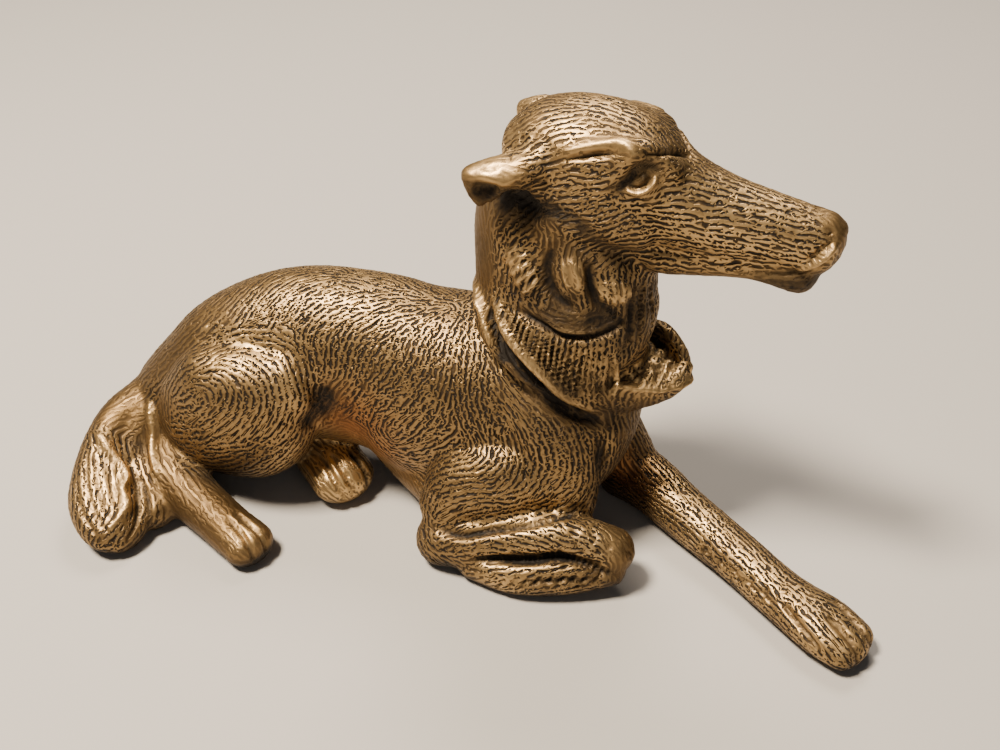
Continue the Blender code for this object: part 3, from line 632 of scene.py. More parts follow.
# %% Guide lines of the coat: spacing of the cuts, their depth, points near the skin
TRUNK_HAIR = [
    (0.84, 0.27, [(-5.5, -1, 35), (-9.5, -3.5, 35.5), (-15, -4, 35.5), (-22, -3, 36), (-29, -3, 36),
                  (-33.5, -6, 35), (-35.5, -10, 33.5), (-36.5, -13, 31)]),
    (0.84, 0.29, [(-24.5, -4, 36), (-28.5, -7, 35.5), (-30.5, -10, 34), (-31.5, -12.5, 31.5)]),
    (0.84, 0.29, [(-14.5, -4, 35.5), (-19.5, -7, 35), (-24, -9.5, 34), (-26, -12, 31.5), (-26, -13.5, 29)]),
    (0.84, 0.29, [(-5.5, -2, 35), (-10, -4.5, 35), (-14.5, -7, 34.5), (-17.5, -10, 33), (-19, -12, 30),
                  (-19, -13.5, 27)]),
    (0.84, 0.29, [(-5, -2, 35), (-8, -6.5, 34.5), (-10.5, -10, 32.5), (-11, -12.5, 29.5),
                  (-12.5, -13.5, 27), (-14.5, -14, 24)]),
    (0.84, 0.29, [(-4.5, -2.5, 35), (-5.5, -6, 34.5), (-6, -9.5, 32.5), (-6.5, -12, 29.5), (-8.5, -14, 26),
                  (-11.5, -14.5, 22.5), (-14, -14.5, 19)]),
    (0.84, 0.28, [(-14, -14.5, 17.5), (-12.5, -14, 15), (-9.5, -14.5, 14.5), (-6, -14.5, 17),
                  (-2.5, -15, 20)]),
    (0.84, 0.29, [(-3.5, -7, 33.5), (-3.5, -10.5, 31.5), (-3.5, -13, 28.5), (-4, -14.5, 24.5),
                  (-6, -15, 20.5), (-9.5, -14.5, 16)]),
    (0.78, 0.29, [(-1.5, -7, 33), (-1, -11, 30.5), (-0.5, -13, 27.5), (1, -14, 24.5), (2.5, -14.5, 21)]),
    (0.78, 0.29, [(0, -8, 33), (1.5, -11, 30.5), (2, -12.5, 27.5), (3.5, -13.5, 24), (5, -15.5, 20.5)]),
    (0.78, 0.29, [(3, -9, 33), (4.5, -10, 30.5), (7, -11, 28.5), (10, -12, 27), (12.5, -13, 25.5),
                  (15, -13, 21.5)]),
    (0.78, 0.29, [(4, -12, 28), (7, -13, 25.5), (8.5, -14, 23), (10, -14.5, 20)]),
    (0.78, 0.2, [(20, -7.5, 21.5), (20, -7.5, 17.5), (19.5, -7, 13.5)]),
    (0.78, 0.14, [(22, -2, 22), (22.5, 0, 17), (22, 1, 12)]),
    (0.84, 0.14, [(-18.5, -13.5, 26), (-20.5, -14, 22.5), (-23, -14, 18.5)]),
    (0.84, 0.02, [(-23, -12, 14), (-18.5, -13.5, 16), (-14, -12.5, 9.5), (-8, -12, 6)]),
]
ARM_HAIR = [
    (0.92, 0.34, [(-4, -20, 9.5), (-4, -18.5, 13), (-1, -18.5, 16), (1.5, -18.5, 17), (4, -18, 18),
                  (5.5, -16.5, 20), (6, -14.5, 21), (5.5, -13.5, 23.5)]),
    (0.92, 0.34, [(-2, -20, 12.5), (0.5, -19.5, 15), (4, -19, 16), (6.5, -18.5, 16), (8, -17.5, 17.5),
                  (8.5, -15.5, 19.5), (7, -13.5, 22.5)]),
    (0.92, 0.34, [(-0.5, -20.5, 11), (1, -20, 13), (4, -19.5, 15), (7.5, -18.5, 15), (10.5, -17, 15.5),
                  (12, -15, 17.5), (12.5, -14, 21.5), (11, -13.5, 25)]),
    (0.92, 0.34, [(0.5, -21, 9), (2, -20, 10.5), (5.5, -19, 13), (9, -18, 13.5), (12, -16, 15),
                  (14, -14.5, 16), (15, -13.5, 20), (13.5, -13.5, 23.5)]),
    (0.92, 0.34, [(3, -21, 9), (6.5, -19, 10.5), (10, -17, 12.5), (14, -14.5, 13), (16.5, -13.5, 16),
                  (17, -12.5, 19.5)]),
    (0.92, 0.29, [(4.5, -21, 9), (8.5, -19, 10.5), (12.5, -16.5, 11.5), (15.5, -14.5, 12.5), (18, -13, 15),
                  (18.5, -11.5, 17.5), (17, -10.5, 23), (15.5, -10, 26)]),
    (0.92, 0.2, [(-3.5, -22, 7), (-2.5, -23, 5.5), (0, -23.5, 4), (2, -22.5, 2.5)]),
    (0.82, 0.24, [(0.5, -23, 6.5), (5, -22.5, 8.5), (8.5, -21.5, 9), (11.5, -21, 8.5)]),
    (0.82, 0.28, [(13, -19, 11), (17, -19, 10)]),
    (0.82, 0.28, [(17.5, -16, 12), (21, -16, 11)]),
    (0.82, 0.25, [(8.5, -20.5, 10), (12, -20.5, 9.5)]),
    (0.82, 0.04, [(23, -15, 10.5), (25.5, -16, 9), (26, -16.5, 6)]),
    (0.86, 0.28, [(9.5, -24, 3.5), (14, -23, 5.5), (17.5, -21, 6.5), (21.5, -18, 6.5)]),
    (0.86, 0.25, [(12, -24, 2.5), (16, -22.5, 4.5), (20, -20.5, 5.5)]),
    (0.86, 0.17, [(4, -23.5, 2.5), (6.5, -24, 3.5), (9.5, -23.5, 5.5)]),
]
HAUNCH_HAIR = [
    (0.98, 0.28, [(-44.5, -18.5, 25), (-43, -16, 27), (-39.5, -14.5, 29), (-35, -13.5, 30.5),
                  (-30.5, -13, 30.5), (-27, -13.5, 29.5), (-25, -14, 27.5), (-24.5, -15.5, 24)]),
    (0.98, 0.32, [(-39.5, -19.5, 26.5), (-37.5, -17, 28), (-34, -15.5, 28), (-29.5, -16, 27.5),
                  (-26.5, -17.5, 25), (-26, -18.5, 22), (-27, -20, 19), (-30, -21.5, 16.5), (-34, -23, 15),
                  (-39.5, -23.5, 13), (-43.5, -23.5, 12)]),
    (0.98, 0.32, [(-40, -20.5, 25.5), (-36.5, -19, 27), (-32.5, -19.5, 26.5), (-30.5, -20, 24.5),
                  (-30, -21, 21.5), (-32, -22.5, 18.5), (-35.5, -23.5, 16), (-41, -24, 14)]),
    (0.98, 0.29, [(-40.5, -21, 25), (-37.5, -20.5, 26), (-34.5, -21, 25), (-34, -22, 22.5),
                  (-35.5, -23, 20), (-39.5, -24, 17), (-44, -23.5, 15)]),
    (0.98, 0.25, [(-41, -22, 23), (-38.5, -22, 24), (-37.5, -22.5, 22.5), (-38.5, -23.5, 20.5),
                  (-41.5, -23.5, 18.5)]),
    (0.98, 0.13, [(-44, -17, 26), (-47, -18.5, 22.5), (-48, -20.5, 19), (-47.5, -22, 15.5)]),
    (0.98, 0.22, [(-43.5, -24, 9.5), (-39.5, -23, 9), (-34.5, -23, 12), (-30.5, -22, 15),
                  (-28, -20.5, 17.5)]),
    (0.98, 0.2, [(-38.5, -10, 32.5), (-39.5, -13, 30.5), (-42.5, -15, 27.5), (-44, -18, 25.5),
                 (-48.5, -19, 20.5), (-52, -19.5, 16.5)]),
    (0.98, 0.08, [(-41.5, -12.5, 30), (-44, -15, 27), (-48.5, -16.5, 22.5), (-55, -18, 16.5),
                  (-56.5, -20.5, 15)]),
    (0.98, 0.01, [(-57.5, -24, 14), (-55.5, -21.5, 14), (-53, -19.5, 14.5)]),
]
TAIL_AND_FEET_HAIR = [
    (0.95, 0.22, [(-58, -28.5, 12), (-56.5, -32, 10), (-54, -36, 8), (-53, -38.5, 6.5)]),
    (0.95, 0.25, [(-58, -27, 13), (-55, -29, 11), (-52.5, -32.5, 9.5), (-51, -36, 8), (-51, -39, 6)]),
    (0.95, 0.22, [(-50, -30, 8.5), (-48, -32.5, 6.5), (-47, -36.5, 5), (-47.5, -39, 4.5)]),
    (0.95, 0.17, [(-48, -30, 7), (-45.5, -32.5, 5), (-45.5, -35.5, 3)]),
    (0.9, 0.05, [(-48.5, -21.5, 13.5), (-45.5, -24.5, 10), (-39.5, -29, 7.5), (-31, -33, 5.5)]),
    (0.9, 0.03, [(-40, -25, 8), (-33, -28, 7), (-27.5, -30.5, 5.5)]),
    (0.9, 0.03, [(-45.5, -29, 7), (-40, -31, 5), (-33, -33.5, 4)]),
    (0.85, 0.08, [(-27.5, -13, 8), (-23.5, -14.5, 6.5), (-20.5, -15, 3.5)]),
    (0.86, 0.29, [(26, 2, 10), (32, -2, 8.5), (39.5, -7.5, 7.5), (46.5, -13, 6.5), (51, -16, 5.5)]),
    (0.86, 0.27, [(21, -0.5, 7), (28.5, -4, 6), (36, -8, 4.5), (43, -12, 3.5), (50.5, -17, 3)]),
    (0.86, 0.24, [(30.5, 0, 9), (37, -3, 8), (43.5, -6.5, 7.5), (50, -11.5, 7), (56, -12, 6)]),
    (0.86, 0.25, [(49.5, -14, 6.5), (53.5, -16.5, 6), (56.5, -18.5, 5)]),
    (0.86, 0.14, [(20, 1, 12), (24, -1, 7.5), (28.5, -3, 7.5)]),
    (0.86, 0.17, [(22, 9, 7), (32, 4, 5), (43, -3, 4), (54, -9, 4)]),
]
NECK_HAIR = [
    (0.9, 0.01, [(-2, -3.5, 52), (-0.5, -5, 48.5), (0.5, -6, 44), (0.5, -7, 40)]),
    (0.9, 0.01, [(-3, 0, 56), (-3, 0, 50), (-3, 0, 44), (-3, 0, 40)]),
    (0.86, 0.31, [(7, -8, 50.5), (5.5, -9, 49), (5, -8.5, 46.5)]),
    (0.86, 0.31, [(9.5, -8.5, 47.5), (8.5, -9.5, 46), (8, -9.5, 44)]),
    (0.86, 0.17, [(12, -9, 50.5), (13, -9.5, 48), (14, -9.5, 46.5)]),
    (0.82, 0.28, [(17.5, -7.5, 48), (17.5, -7, 45)]),
    (0.82, 0.28, [(20, -5.5, 47.5), (20.5, -6, 45.5)]),
    (0.82, 0.2, [(22, -3, 46), (22, -3.5, 42.5), (22.5, -4, 39)]),
    (0.82, 0.2, [(22.5, -0.5, 44.5), (23, -1, 39)]),
    (0.9, 0.03, [(8, -8.5, 41.5), (12.5, -9.5, 40.5), (17.5, -8, 41.5)]),
    (0.86, 0.39, [(0.5, -8, 41.5), (-0.5, -9, 39.5)]),
    (0.86, 0.39, [(4.5, -8.5, 41), (4, -10, 39.5)]),
    (0.86, 0.39, [(8, -10, 40), (7.5, -11, 38)]),
    (0.86, 0.39, [(11.5, -10.5, 39), (11.5, -11, 36.5)]),
    (0.86, 0.39, [(15, -9.5, 38.5), (15, -10, 35.5)]),
    (0.86, 0.31, [(18, -8.5, 39), (18, -8.5, 35.5)]),
    (0.7, 0.18, [(11, -11.5, 35), (12.5, -11.5, 31.5)]),
    (0.7, 0.18, [(16.5, -9.5, 34.5), (16.5, -9, 30.5)]),
    (0.86, 0.17, [(22, -5, 31), (23.5, -2, 31.5), (24.5, 3, 31)]),
    (0.86, 0.08, [(23.5, -5.5, 29), (22, -3, 22.5)]),
    (0.86, 0.02, [(4, -11.5, 33), (8, -12, 30), (12, -11.5, 27.5), (17, -9, 25)]),
]
HEAD_HAIR = [
    (0.82, 0.18, [(2, -4, 62), (6, -5, 66), (9.5, -4, 68), (13, -3, 68.5), (16.5, -2.5, 68),
                  (20.5, -2.5, 67)]),
    (0.82, 0.21, [(8.5, -1, 68.5), (12.5, -1, 69), (15.5, -1.5, 68.5), (19.5, -3, 67.5), (22.5, -4.5, 66)]),
    (0.82, 0.21, [(14.5, 0, 68.5), (17.5, -0.5, 68.5), (20.5, -2, 67), (23, -3, 65.5)]),
    (0.82, 0.18, [(5, -7.5, 63.5), (8.5, -6, 65.5), (12, -5.5, 67), (15.5, -5, 67.5), (19.5, -4.5, 67)]),
    (0.82, 0.01, [(12.5, -7.5, 65.5), (16, -6.5, 66), (19, -7, 66.5)]),
    (0.82, 0.21, [(7.5, -8.5, 62), (10.5, -8, 63), (13.5, -7.5, 64), (16.5, -7, 64), (18.5, -7, 64)]),
    (0.82, 0.21, [(8, -7.5, 59), (11, -8, 60.5), (15, -8, 61.5), (17.5, -7.5, 62.5)]),
    (0.82, 0.24, [(11.5, -8, 57.5), (15, -8, 58.5), (19, -7.5, 59.5), (22.5, -6.5, 60.5),
                  (25.5, -5.5, 60.5), (30.5, -4, 60), (35, -3, 59.5), (39.5, -2.5, 59.5)]),
    (0.82, 0.24, [(14, -8.5, 56.5), (18, -8, 57.5), (21, -6.5, 58.5), (24.5, -6, 58.5), (29.5, -5, 58.5),
                  (34, -4, 58.5), (39, -3.5, 58), (42.5, -3, 58)]),
    (0.82, 0.24, [(14.5, -7, 53), (19, -7.5, 56), (22.5, -6, 56.5), (27.5, -5, 56), (32, -4.5, 55.5),
                  (37, -4, 56), (40.5, -3.5, 56)]),
    (0.82, 0.21, [(16.5, -6.5, 50), (20, -5.5, 52), (23.5, -4, 52), (28.5, -3.5, 52), (33.5, -3, 52.5)]),
    (0.82, 0.21, [(25, -5, 62), (27.5, -3.5, 61.5), (31, -2.5, 61), (35, -2.5, 60.5), (38.5, -2.5, 59.5)]),
    (0.82, 0.18, [(26, -1, 63.5), (29, -1, 62), (33, -1, 61), (36.5, -1, 60), (39.5, -1, 60)]),
    (0.82, 0.02, [(43, -1.5, 59.5), (44.5, -2, 58.5), (45, -1.5, 57)]),
    (0.82, 0.02, [(19, -7.2, 62), (21, -6.8, 62.5), (22.8, -6, 63)]),
    (0.82, 0.17, [(23, -6.5, 60.5), (24, -5.5, 61.5), (26, -3.5, 62.5)]),
    (0.86, 0.17, [(7, -7, 56), (5, -7, 53.5)]),
    (0.86, 0.03, [(29, -2, 48.5), (34, -2, 49), (39, -2, 48.5), (43, -1.5, 50)]),
    (0.86, 0.01, [(0, -10, 62), (3, -9.5, 62.5), (6, -9.5, 62)]),
    (0.86, 0.02, [(0, -10.5, 59), (1.5, -9, 58), (3, -5.5, 56)]),
    (0.86, 0.11, [(9.5, -8, 54), (10.5, -8, 52.5), (9.5, -8, 50)]),
]
BACKBONE_Y = -2.5
FAR_HAUNCH_SHIFT = (0, 12.5, -4)


def far_side_guides():
    """The far side in keeping: trunk and haunch mirrored at the backbone, head and neck at y = 0."""
    far = []
    for spacing, depth, line in TRUNK_HAIR:
        far.append((spacing, depth, [(x, 2 * BACKBONE_Y - y, z) for x, y, z in line]))
    for spacing, depth, line in HAUNCH_HAIR:
        moved = [(x, -y - FAR_HAUNCH_SHIFT[1], z + FAR_HAUNCH_SHIFT[2]) for x, y, z in line]
        far.append((spacing, depth * 0.8, moved))
    for spacing, depth, line in NECK_HAIR + HEAD_HAIR:
        far.append((spacing, depth, other_side(line)))
    return far


guides = TRUNK_HAIR + ARM_HAIR + HAUNCH_HAIR + TAIL_AND_FEET_HAIR + NECK_HAIR + HEAD_HAIR + far_side_guides()
knots, headings, cuts = [], [], []
for spacing, depth, line in guides:
    line = smooth_rows(line, 2)
    knots.append(line)
    headings.append(unit_rows(np.gradient(line, axis=0)))
    cuts.append(np.tile((spacing, depth), (len(line), 1)))
knots = np.vstack(knots) + TO_FIGURE
headings, cuts = np.vstack(headings), np.vstack(cuts)
print(len(guides), "guide lines with", len(knots), "knots")

# %% [markdown]
# ## Blending the guides
# A hair line has no front or back, so directions can't simply be averaged: two opposite ones would cancel.
# Each knot gives the six products of its heading with itself instead, weighted by the fourth power of its
# nearness.  Added up, they form a small table whose longest axis is the blended direction.

# %% A direction, a spacing and a depth for every point
NEARNESS_FLOOR = 1.1


def blend_guides(at, knots, headings, cuts):
    """Mean over knots of (heading products, spacing, depth), each weighing 1 / (distance^2 + floor^2)^2."""
    x, y, z = headings.T
    carried = np.column_stack([x * x, y * y, z * z, x * y, x * z, y * z, cuts]).astype(np.float32)
    knots = knots.astype(np.float32)
    blended = np.empty((len(at), carried.shape[1]), np.float32)
    knot_square = (knots ** 2).sum(1)
    for start in range(0, len(at), 8000):
        part = at[start:start + 8000].astype(np.float32)
        square = (part ** 2).sum(1)[:, None] + knot_square - 2 * part @ knots.T
        weight = 1 / (np.maximum(square, 0) + NEARNESS_FLOOR ** 2) ** 2
        blended[start:start + 8000] = weight @ carried / weight.sum(1)[:, None]
    return blended


def tangent_axes(normals):
    """Two directions across each normal: the one nearest to level, and the one across both."""
    level = np.cross(normals, np.where(np.abs(normals[:, 2:3]) > 0.9, (1.0, 0, 0), (0, 0, 1.0)))
    level = unit_rows(level)
    return level, np.cross(normals, level)


def hair_direction(blended, normals):
    """Longest axis of the products in the skin's plane: angle = atan2(2 ab, aa - bb) / 2."""
    a, b = tangent_axes(normals)
    table = blended[:, [0, 3, 4, 3, 1, 5, 4, 5, 2]].reshape(-1, 3, 3)
    ta = np.einsum("nij,nj->ni", table, a)
    tb = np.einsum("nij,nj->ni", table, b)
    aa, bb, ab = (ta * a).sum(1), (tb * b).sum(1), (ta * b).sum(1)
    angle = 0.5 * np.arctan2(2 * ab, aa - bb)
    return a * np.cos(angle)[:, None] + b * np.sin(angle)[:, None]


def soft_noise(at, size, seed, waves=24):
    """Smooth noise from -1 to 1: a sum of sine waves in random directions whose length is about the size."""
    rng = np.random.default_rng(seed)
    spread = unit_rows(rng.normal(size=(waves, 3))) * rng.uniform(0.6, 1.6, (waves, 1)) * 2 * math.pi / size
    waves_at = np.sin(at @ spread.T + rng.uniform(0, 2 * math.pi, waves))
    return waves_at.sum(1) * math.sqrt(2 / waves) / 2


def turned(direction, normals, angle):
    """The direction turned in the skin's plane by an angle: direction * cos + (normal x direction) * sin."""
    across = np.cross(normals, direction)
    return direction * np.cos(angle)[:, None] + across * np.sin(angle)[:, None]


blended = blend_guides(places, knots, headings, cuts)
print("spacing", blended[:, 6].min().round(2), "to", blended[:, 6].max().round(2), "units; depth up to",
      blended[:, 7].max().round(2))

# %% [markdown]
# ## Combing the hair
# Evenly spaced lines that follow a bending direction can't be drawn with one formula: where the coat widens,
# a line must split, as fingerprints do.  So every point of the skin holds a phase, its place between two
# cuts.  Again and again each point asks its neighbours what its own phase should be, given how far apart they
# lie across the hair, and takes the average.  The lines start from a few seeds and grow over the whole skin;
# where two fields of hair meet, they settle into the forks that a real coat has.

# %% Neighbours, and one combing pass repeated
WAVINESS = 0.12
WAVE_SIZE = 6.0
SWAY = 0.12
SWAY_SIZE = 3.4


def neighbour_table(edges, count):
    """A row of neighbours for each point, with minus one where it has fewer."""
    source = np.concatenate([edges[:, 0], edges[:, 1]])
    target = np.concatenate([edges[:, 1], edges[:, 0]])
    order = np.argsort(source, kind="stable")
    source, target = source[order], target[order]
    first = np.searchsorted(source, np.arange(count))
    rank = np.arange(len(source)) - first[source]
    table = np.full((count, rank.max() + 1), -1, np.int32)
    table[source, rank] = target
    return table


def step_weights(at, normals, direction, spacing, near):
    """Cosine and sine of 2 pi / spacing * step across the hair to a column of neighbours, and their sense."""
    across = np.cross(normals, direction)
    same = np.where((direction[near] * direction).sum(1) < 0, -1.0, 1.0)
    mean_across = (across[near] * same[:, None] + across) / 2
    step = ((at[near] - at) * mean_across).sum(1)
    turn = 4 * math.pi * step / (spacing[near] + spacing)
    return [part.astype(np.float32) for part in (np.cos(turn), np.sin(turn), same)]


def comb(at, normals, direction, spacing, table, phase, rounds):
    """New phase = average over neighbours of (their phase - 2 pi / spacing * step across the hair).

    A neighbour whose direction points the other way counts its phase backwards, so its sine changes sign.
    """
    columns = []
    for column in table.T:
        near = np.where(column >= 0, column, 0)
        cosine, sine, same = step_weights(at, normals, direction, spacing, near)
        known = (column >= 0).astype(np.float32)
        columns.append((near, cosine * known, sine * known, same))
    real, imag = [part.astype(np.float32) for part in phase]
    for _ in range(rounds):
        new_real, new_imag = np.zeros_like(real), np.zeros_like(imag)
        for near, cosine, sine, same in columns:
            near_real, near_imag = real[near], imag[near] * same
            new_real += near_real * cosine + near_imag * sine
            new_imag += near_imag * cosine - near_real * sine
        length = np.maximum(np.hypot(new_real, new_imag), 1e-9)
        real, imag = new_real / length, new_imag / length
    return real, imag


COMBING_ROUNDS = 260
SEEDS = 36
skin_normals = read_vectors(skin.vertex_normals, "vector", 3)
skin_table = neighbour_table(read_vectors(skin.edges, "vertices", 2, np.int32), len(places))
direction = hair_direction(blended, skin_normals)
direction = turned(direction, skin_normals, WAVINESS * soft_noise(places, WAVE_SIZE, 3))
seeds = np.zeros(len(places))
seeds[np.random.default_rng(7).choice(len(places), SEEDS, replace=False)] = 1
phase = comb(places, skin_normals, direction, blended[:, 6], skin_table, (seeds, 0 * seeds), COMBING_ROUNDS)
print("combed", len(places), "points", COMBING_ROUNDS, "times from", SEEDS, "seeds")

# %% [markdown]
# ## A finer skin for the cuts
# Two points between one cut and the next are too few to shape it.  One Catmull-Clark subdivision doubles the
# points each way.  The blended guides ride along as attributes, and the old points hand their phase on to the
# new ones in a few more rounds of combing.  Then the whole pattern sways sideways a little, as hair waves: a
# sideways step d across the hair adds 2 pi d / spacing to the phase.

# %% Subdivide, then comb the new points
GUIDE_NAMES = ["products_a", "products_b", "cuts"]
carried = np.column_stack([blended, broad_push])
for name, columns in zip(GUIDE_NAMES, ([0, 1, 2], [3, 4, 5], [6, 7, 8])):
    layer = skin.attributes.new(name, "FLOAT_VECTOR", "POINT")
    layer.data.foreach_set("vector", carried[:, columns].astype(float).ravel())
fine_object = bpy.data.objects.new("fine_skin", skin)
bpy.context.scene.collection.objects.link(fine_object)
divide = fine_object.modifiers.new("divide", "SUBSURF")
divide.levels = 1
divide.render_levels = 1
fine = baked_mesh(fine_object, "fine_skin")
bpy.data.objects.remove(fine_object)

fine_places = read_vectors(fine.vertices, "co", 3)
fine_normals = read_vectors(fine.vertex_normals, "vector", 3)
fine_blended = np.hstack([read_vectors(fine.attributes[name].data, "vector", 3) for name in GUIDE_NAMES])
for name in GUIDE_NAMES:
    fine.attributes.remove(fine.attributes[name])
fine_table = neighbour_table(read_vectors(fine.edges, "vertices", 2, np.int32), len(fine_places))
fine_direction = hair_direction(fine_blended, fine_normals)
fine_direction = turned(fine_direction, fine_normals, WAVINESS * soft_noise(fine_places, WAVE_SIZE, 3))
spacing, depth, carried_push = fine_blended[:, 6:].T
handed = [np.concatenate([part, np.zeros(len(fine_places) - len(places))]) for part in phase]
FINE_ROUNDS = 24
real, imag = comb(fine_places, fine_normals, fine_direction, spacing, fine_table, handed, FINE_ROUNDS)
sway = SWAY * np.stack([soft_noise(fine_places, SWAY_SIZE, seed) for seed in (21, 22, 23)], 1)
fine_across = np.cross(fine_normals, fine_direction)
swayed = np.arctan2(imag, real) + 2 * math.pi * (sway * fine_across).sum(1) / spacing
real, imag = np.cos(swayed), np.sin(swayed)
print("fine skin:", len(fine_places), "points; old points moved by at most",
      np.linalg.norm(fine_places[:len(places)] - places, axis=1).max().round(2), "units")

# %% [markdown]
# ## Cutting the relief
# The section of a chased coat isn't a plain wave: the hairs are broad and rounded, and the cuts between them
# are narrow.  Strokes also fade in and out along their length, and here and there one is deeper.  Pits from
# the casting roughen the wrist, the ears and the nose.

# %% Depth of the cuts, pits, and the moved skin
PITS = [
    # centre, reach, number of pits, their size and depth
    ((24.5, -15.5, 9), 4.0, 60, 0.42, 0.3),
    ((2, -9.5, 62), 3.6, 60, 0.34, 0.24),
    ((2.5, 8, 64), 3.8, 70, 0.36, 0.3),
    ((44, 0, 58), 2.6, 36, 0.3, 0.18),
    ((26, 0, 31), 4.0, 34, 0.45, 0.22),
    ((-2, -22.5, 6), 3.0, 12, 0.4, 0.22),
    ((-27, -31, 5), 3.4, 16, 0.4, 0.2),
]


def pit_push(at, pits, seed):
    """Dents: for each pit, -depth * exp(-(distance / size)^2), at seeded places near the centre."""
    rng = np.random.default_rng(seed)
    push = np.zeros(len(at))
    for centre, reach, count, size, deep in pits:
        middle = np.array(centre) + TO_FIGURE
        near = np.where(np.linalg.norm(at - middle, axis=1) < 2.2 * reach)[0]
        spots = at[rng.choice(near, count)]
        gap = np.linalg.norm(at[near, None] - spots[None], axis=2)
        sizes = size * rng.uniform(0.6, 1.4, count)
        push[near] -= (deep * np.exp(-(gap / sizes) ** 2)).max(1)
    return push


fine_strokes = [(width, depth_by, np.array(line) + TO_FIGURE) for width, depth_by, line in fine_strokes]
fine_push = stroke_push(fine_places, skin_tree(skin, places), fine_strokes)
modelled = carried_push + fine_push
# hair is left out where a stroke has gone: wholly for a fine one this deep, or a broad one this deep
FINE_CLEARS, BROAD_CLEARS, MOST_CLEARED = 0.5, 3, 0.85
cleared = np.abs(fine_push) / FINE_CLEARS + np.abs(carried_push) / BROAD_CLEARS
depth = depth * (1 - MOST_CLEARED * np.clip(cleared, 0, 1))
# the mesh takes this share of a cut and the shader the rest; the power narrows the cut
RELIEF_SHARE = 0.45
CUT_POWER = 1.4
SKIN_LEVEL = 0.35
cut_shape = (0.5 - 0.5 * real) ** CUT_POWER
patchy = np.clip(0.86 + 0.34 * soft_noise(fine_places, 3.2, 11), 0.3, 1.3)
FILED_UP_TO, CARVED_FROM = 0.35, 1.85
above_file = np.clip((fine_places[:, 2] - FILED_UP_TO) / (CARVED_FROM - FILED_UP_TO), 0, 1)
cut_depth = depth * patchy * above_file
pits = pit_push(fine_places, PITS, 5) * above_file
CAST_ROUGHNESS = 0.03
rough = CAST_ROUGHNESS * soft_noise(fine_places, 1.1, 17) * above_file
hair_push = RELIEF_SHARE * cut_depth * (SKIN_LEVEL - cut_shape)
push = fine_push * above_file + hair_push + pits + rough
carved = fine_places + fine_normals * push[:, None]
carved[:, 2] = np.maximum(carved[:, 2], fine_places[:, 2].min())
fine.vertices.foreach_set("co", carved.ravel())
fine.update()
print("cuts up to", cut_depth.max().round(3), "units deep; mean", cut_depth.mean().round(3))

# %% [markdown]
# ## Fewer triangles, the same hair
# Equal triangles waste themselves along a hair, where nothing changes.  Decimate collapses the edges that
# cost the least shape, so what is left is long and thin along the hair and dense across it.  The points at
# the eye are all kept, because it is the smallest shape of the casting.

# %% Thin the mesh
TRIANGLES = 198000
EYE_PIXEL = (644, 180)
EYE_REACH = 2.4
thin_object = bpy.data.objects.new("thin_skin", fine)
bpy.context.scene.collection.objects.link(thin_object)
thin = thin_object.modifiers.new("thin", "DECIMATE")
thin.ratio = TRIANGLES / (2 * len(fine.polygons))
eye = np.array(seen_on(first_tree, [EYE_PIXEL])[0]) + TO_FIGURE
kept = np.where(np.linalg.norm(fine_places - eye, axis=1) < EYE_REACH)[0]
spared = thin_object.vertex_groups.new(name="eye")
spared.add(kept.tolist(), 1.0, "REPLACE")
thin.vertex_group = spared.name
thin.invert_vertex_group = True
thin.use_collapse_triangulate = True
hound_mesh = baked_mesh(thin_object, "hound_casting")
bpy.data.objects.remove(thin_object)
hound_mesh.validate()

# %% Drop the crumbs that the thinning leaves


def main_body(edges, count):
    """True for points of the largest piece: the lowest number spreads along the edges until none changes."""
    label = np.arange(count)
    while True:
        lowest = label[edges].min(1)
        spread = label.copy()
        np.minimum.at(spread, edges[:, 0], lowest)
        np.minimum.at(spread, edges[:, 1], lowest)
        spread = spread[spread]
        if (spread == label).all():
            return label == np.bincount(label).argmax()
        label = spread


joined = main_body(read_vectors(hound_mesh.edges, "vertices", 2, np.int32), len(hound_mesh.vertices))
casting = bmesh.new()
casting.from_mesh(hound_mesh)
casting.verts.ensure_lookup_table()
crumbs = [casting.verts[i] for i in np.where(~joined)[0]]
bmesh.ops.delete(casting, geom=crumbs, context="VERTS")
casting.to_mesh(hound_mesh)
casting.free()
bare = read_vectors(hound_mesh.vertices, "co", 3)
near_eye = int((np.linalg.norm(bare - eye, axis=1) < EYE_REACH).sum())
print(int((~joined).sum()), "points in crumbs dropped; casting:", len(hound_mesh.polygons), "triangles,",
      len(bare), "points,", near_eye, "at the eye")

# %% [markdown]
# ## The hair in every corner
# The thinned mesh can't hold the sharp bottom of each cut, but the shader can, if it knows the phase at every
# place.  Between corners a phase may pass a whole turn, so each triangle gets its three phases unrolled: the
# second and third differ from the first by the step across the hair plus what little the combing says.

# %% Carry values from the fine skin, and unroll the phase in each triangle


def nearest_table(at, wanted, count):
    """For each wanted point, the numbers of the nearest points and weights that fall with distance."""
    tree = KDTree(len(at))
    for i, place in enumerate(at.tolist()):
        tree.insert(place, i)
    tree.balance()
    found = np.array([[(i, d) for _, i, d in tree.find_n(place, count)] for place in wanted.tolist()])
    weight = 1 / (found[..., 1] + 1e-3)
    return found[..., 0].astype(int), weight / weight.sum(1, keepdims=True)


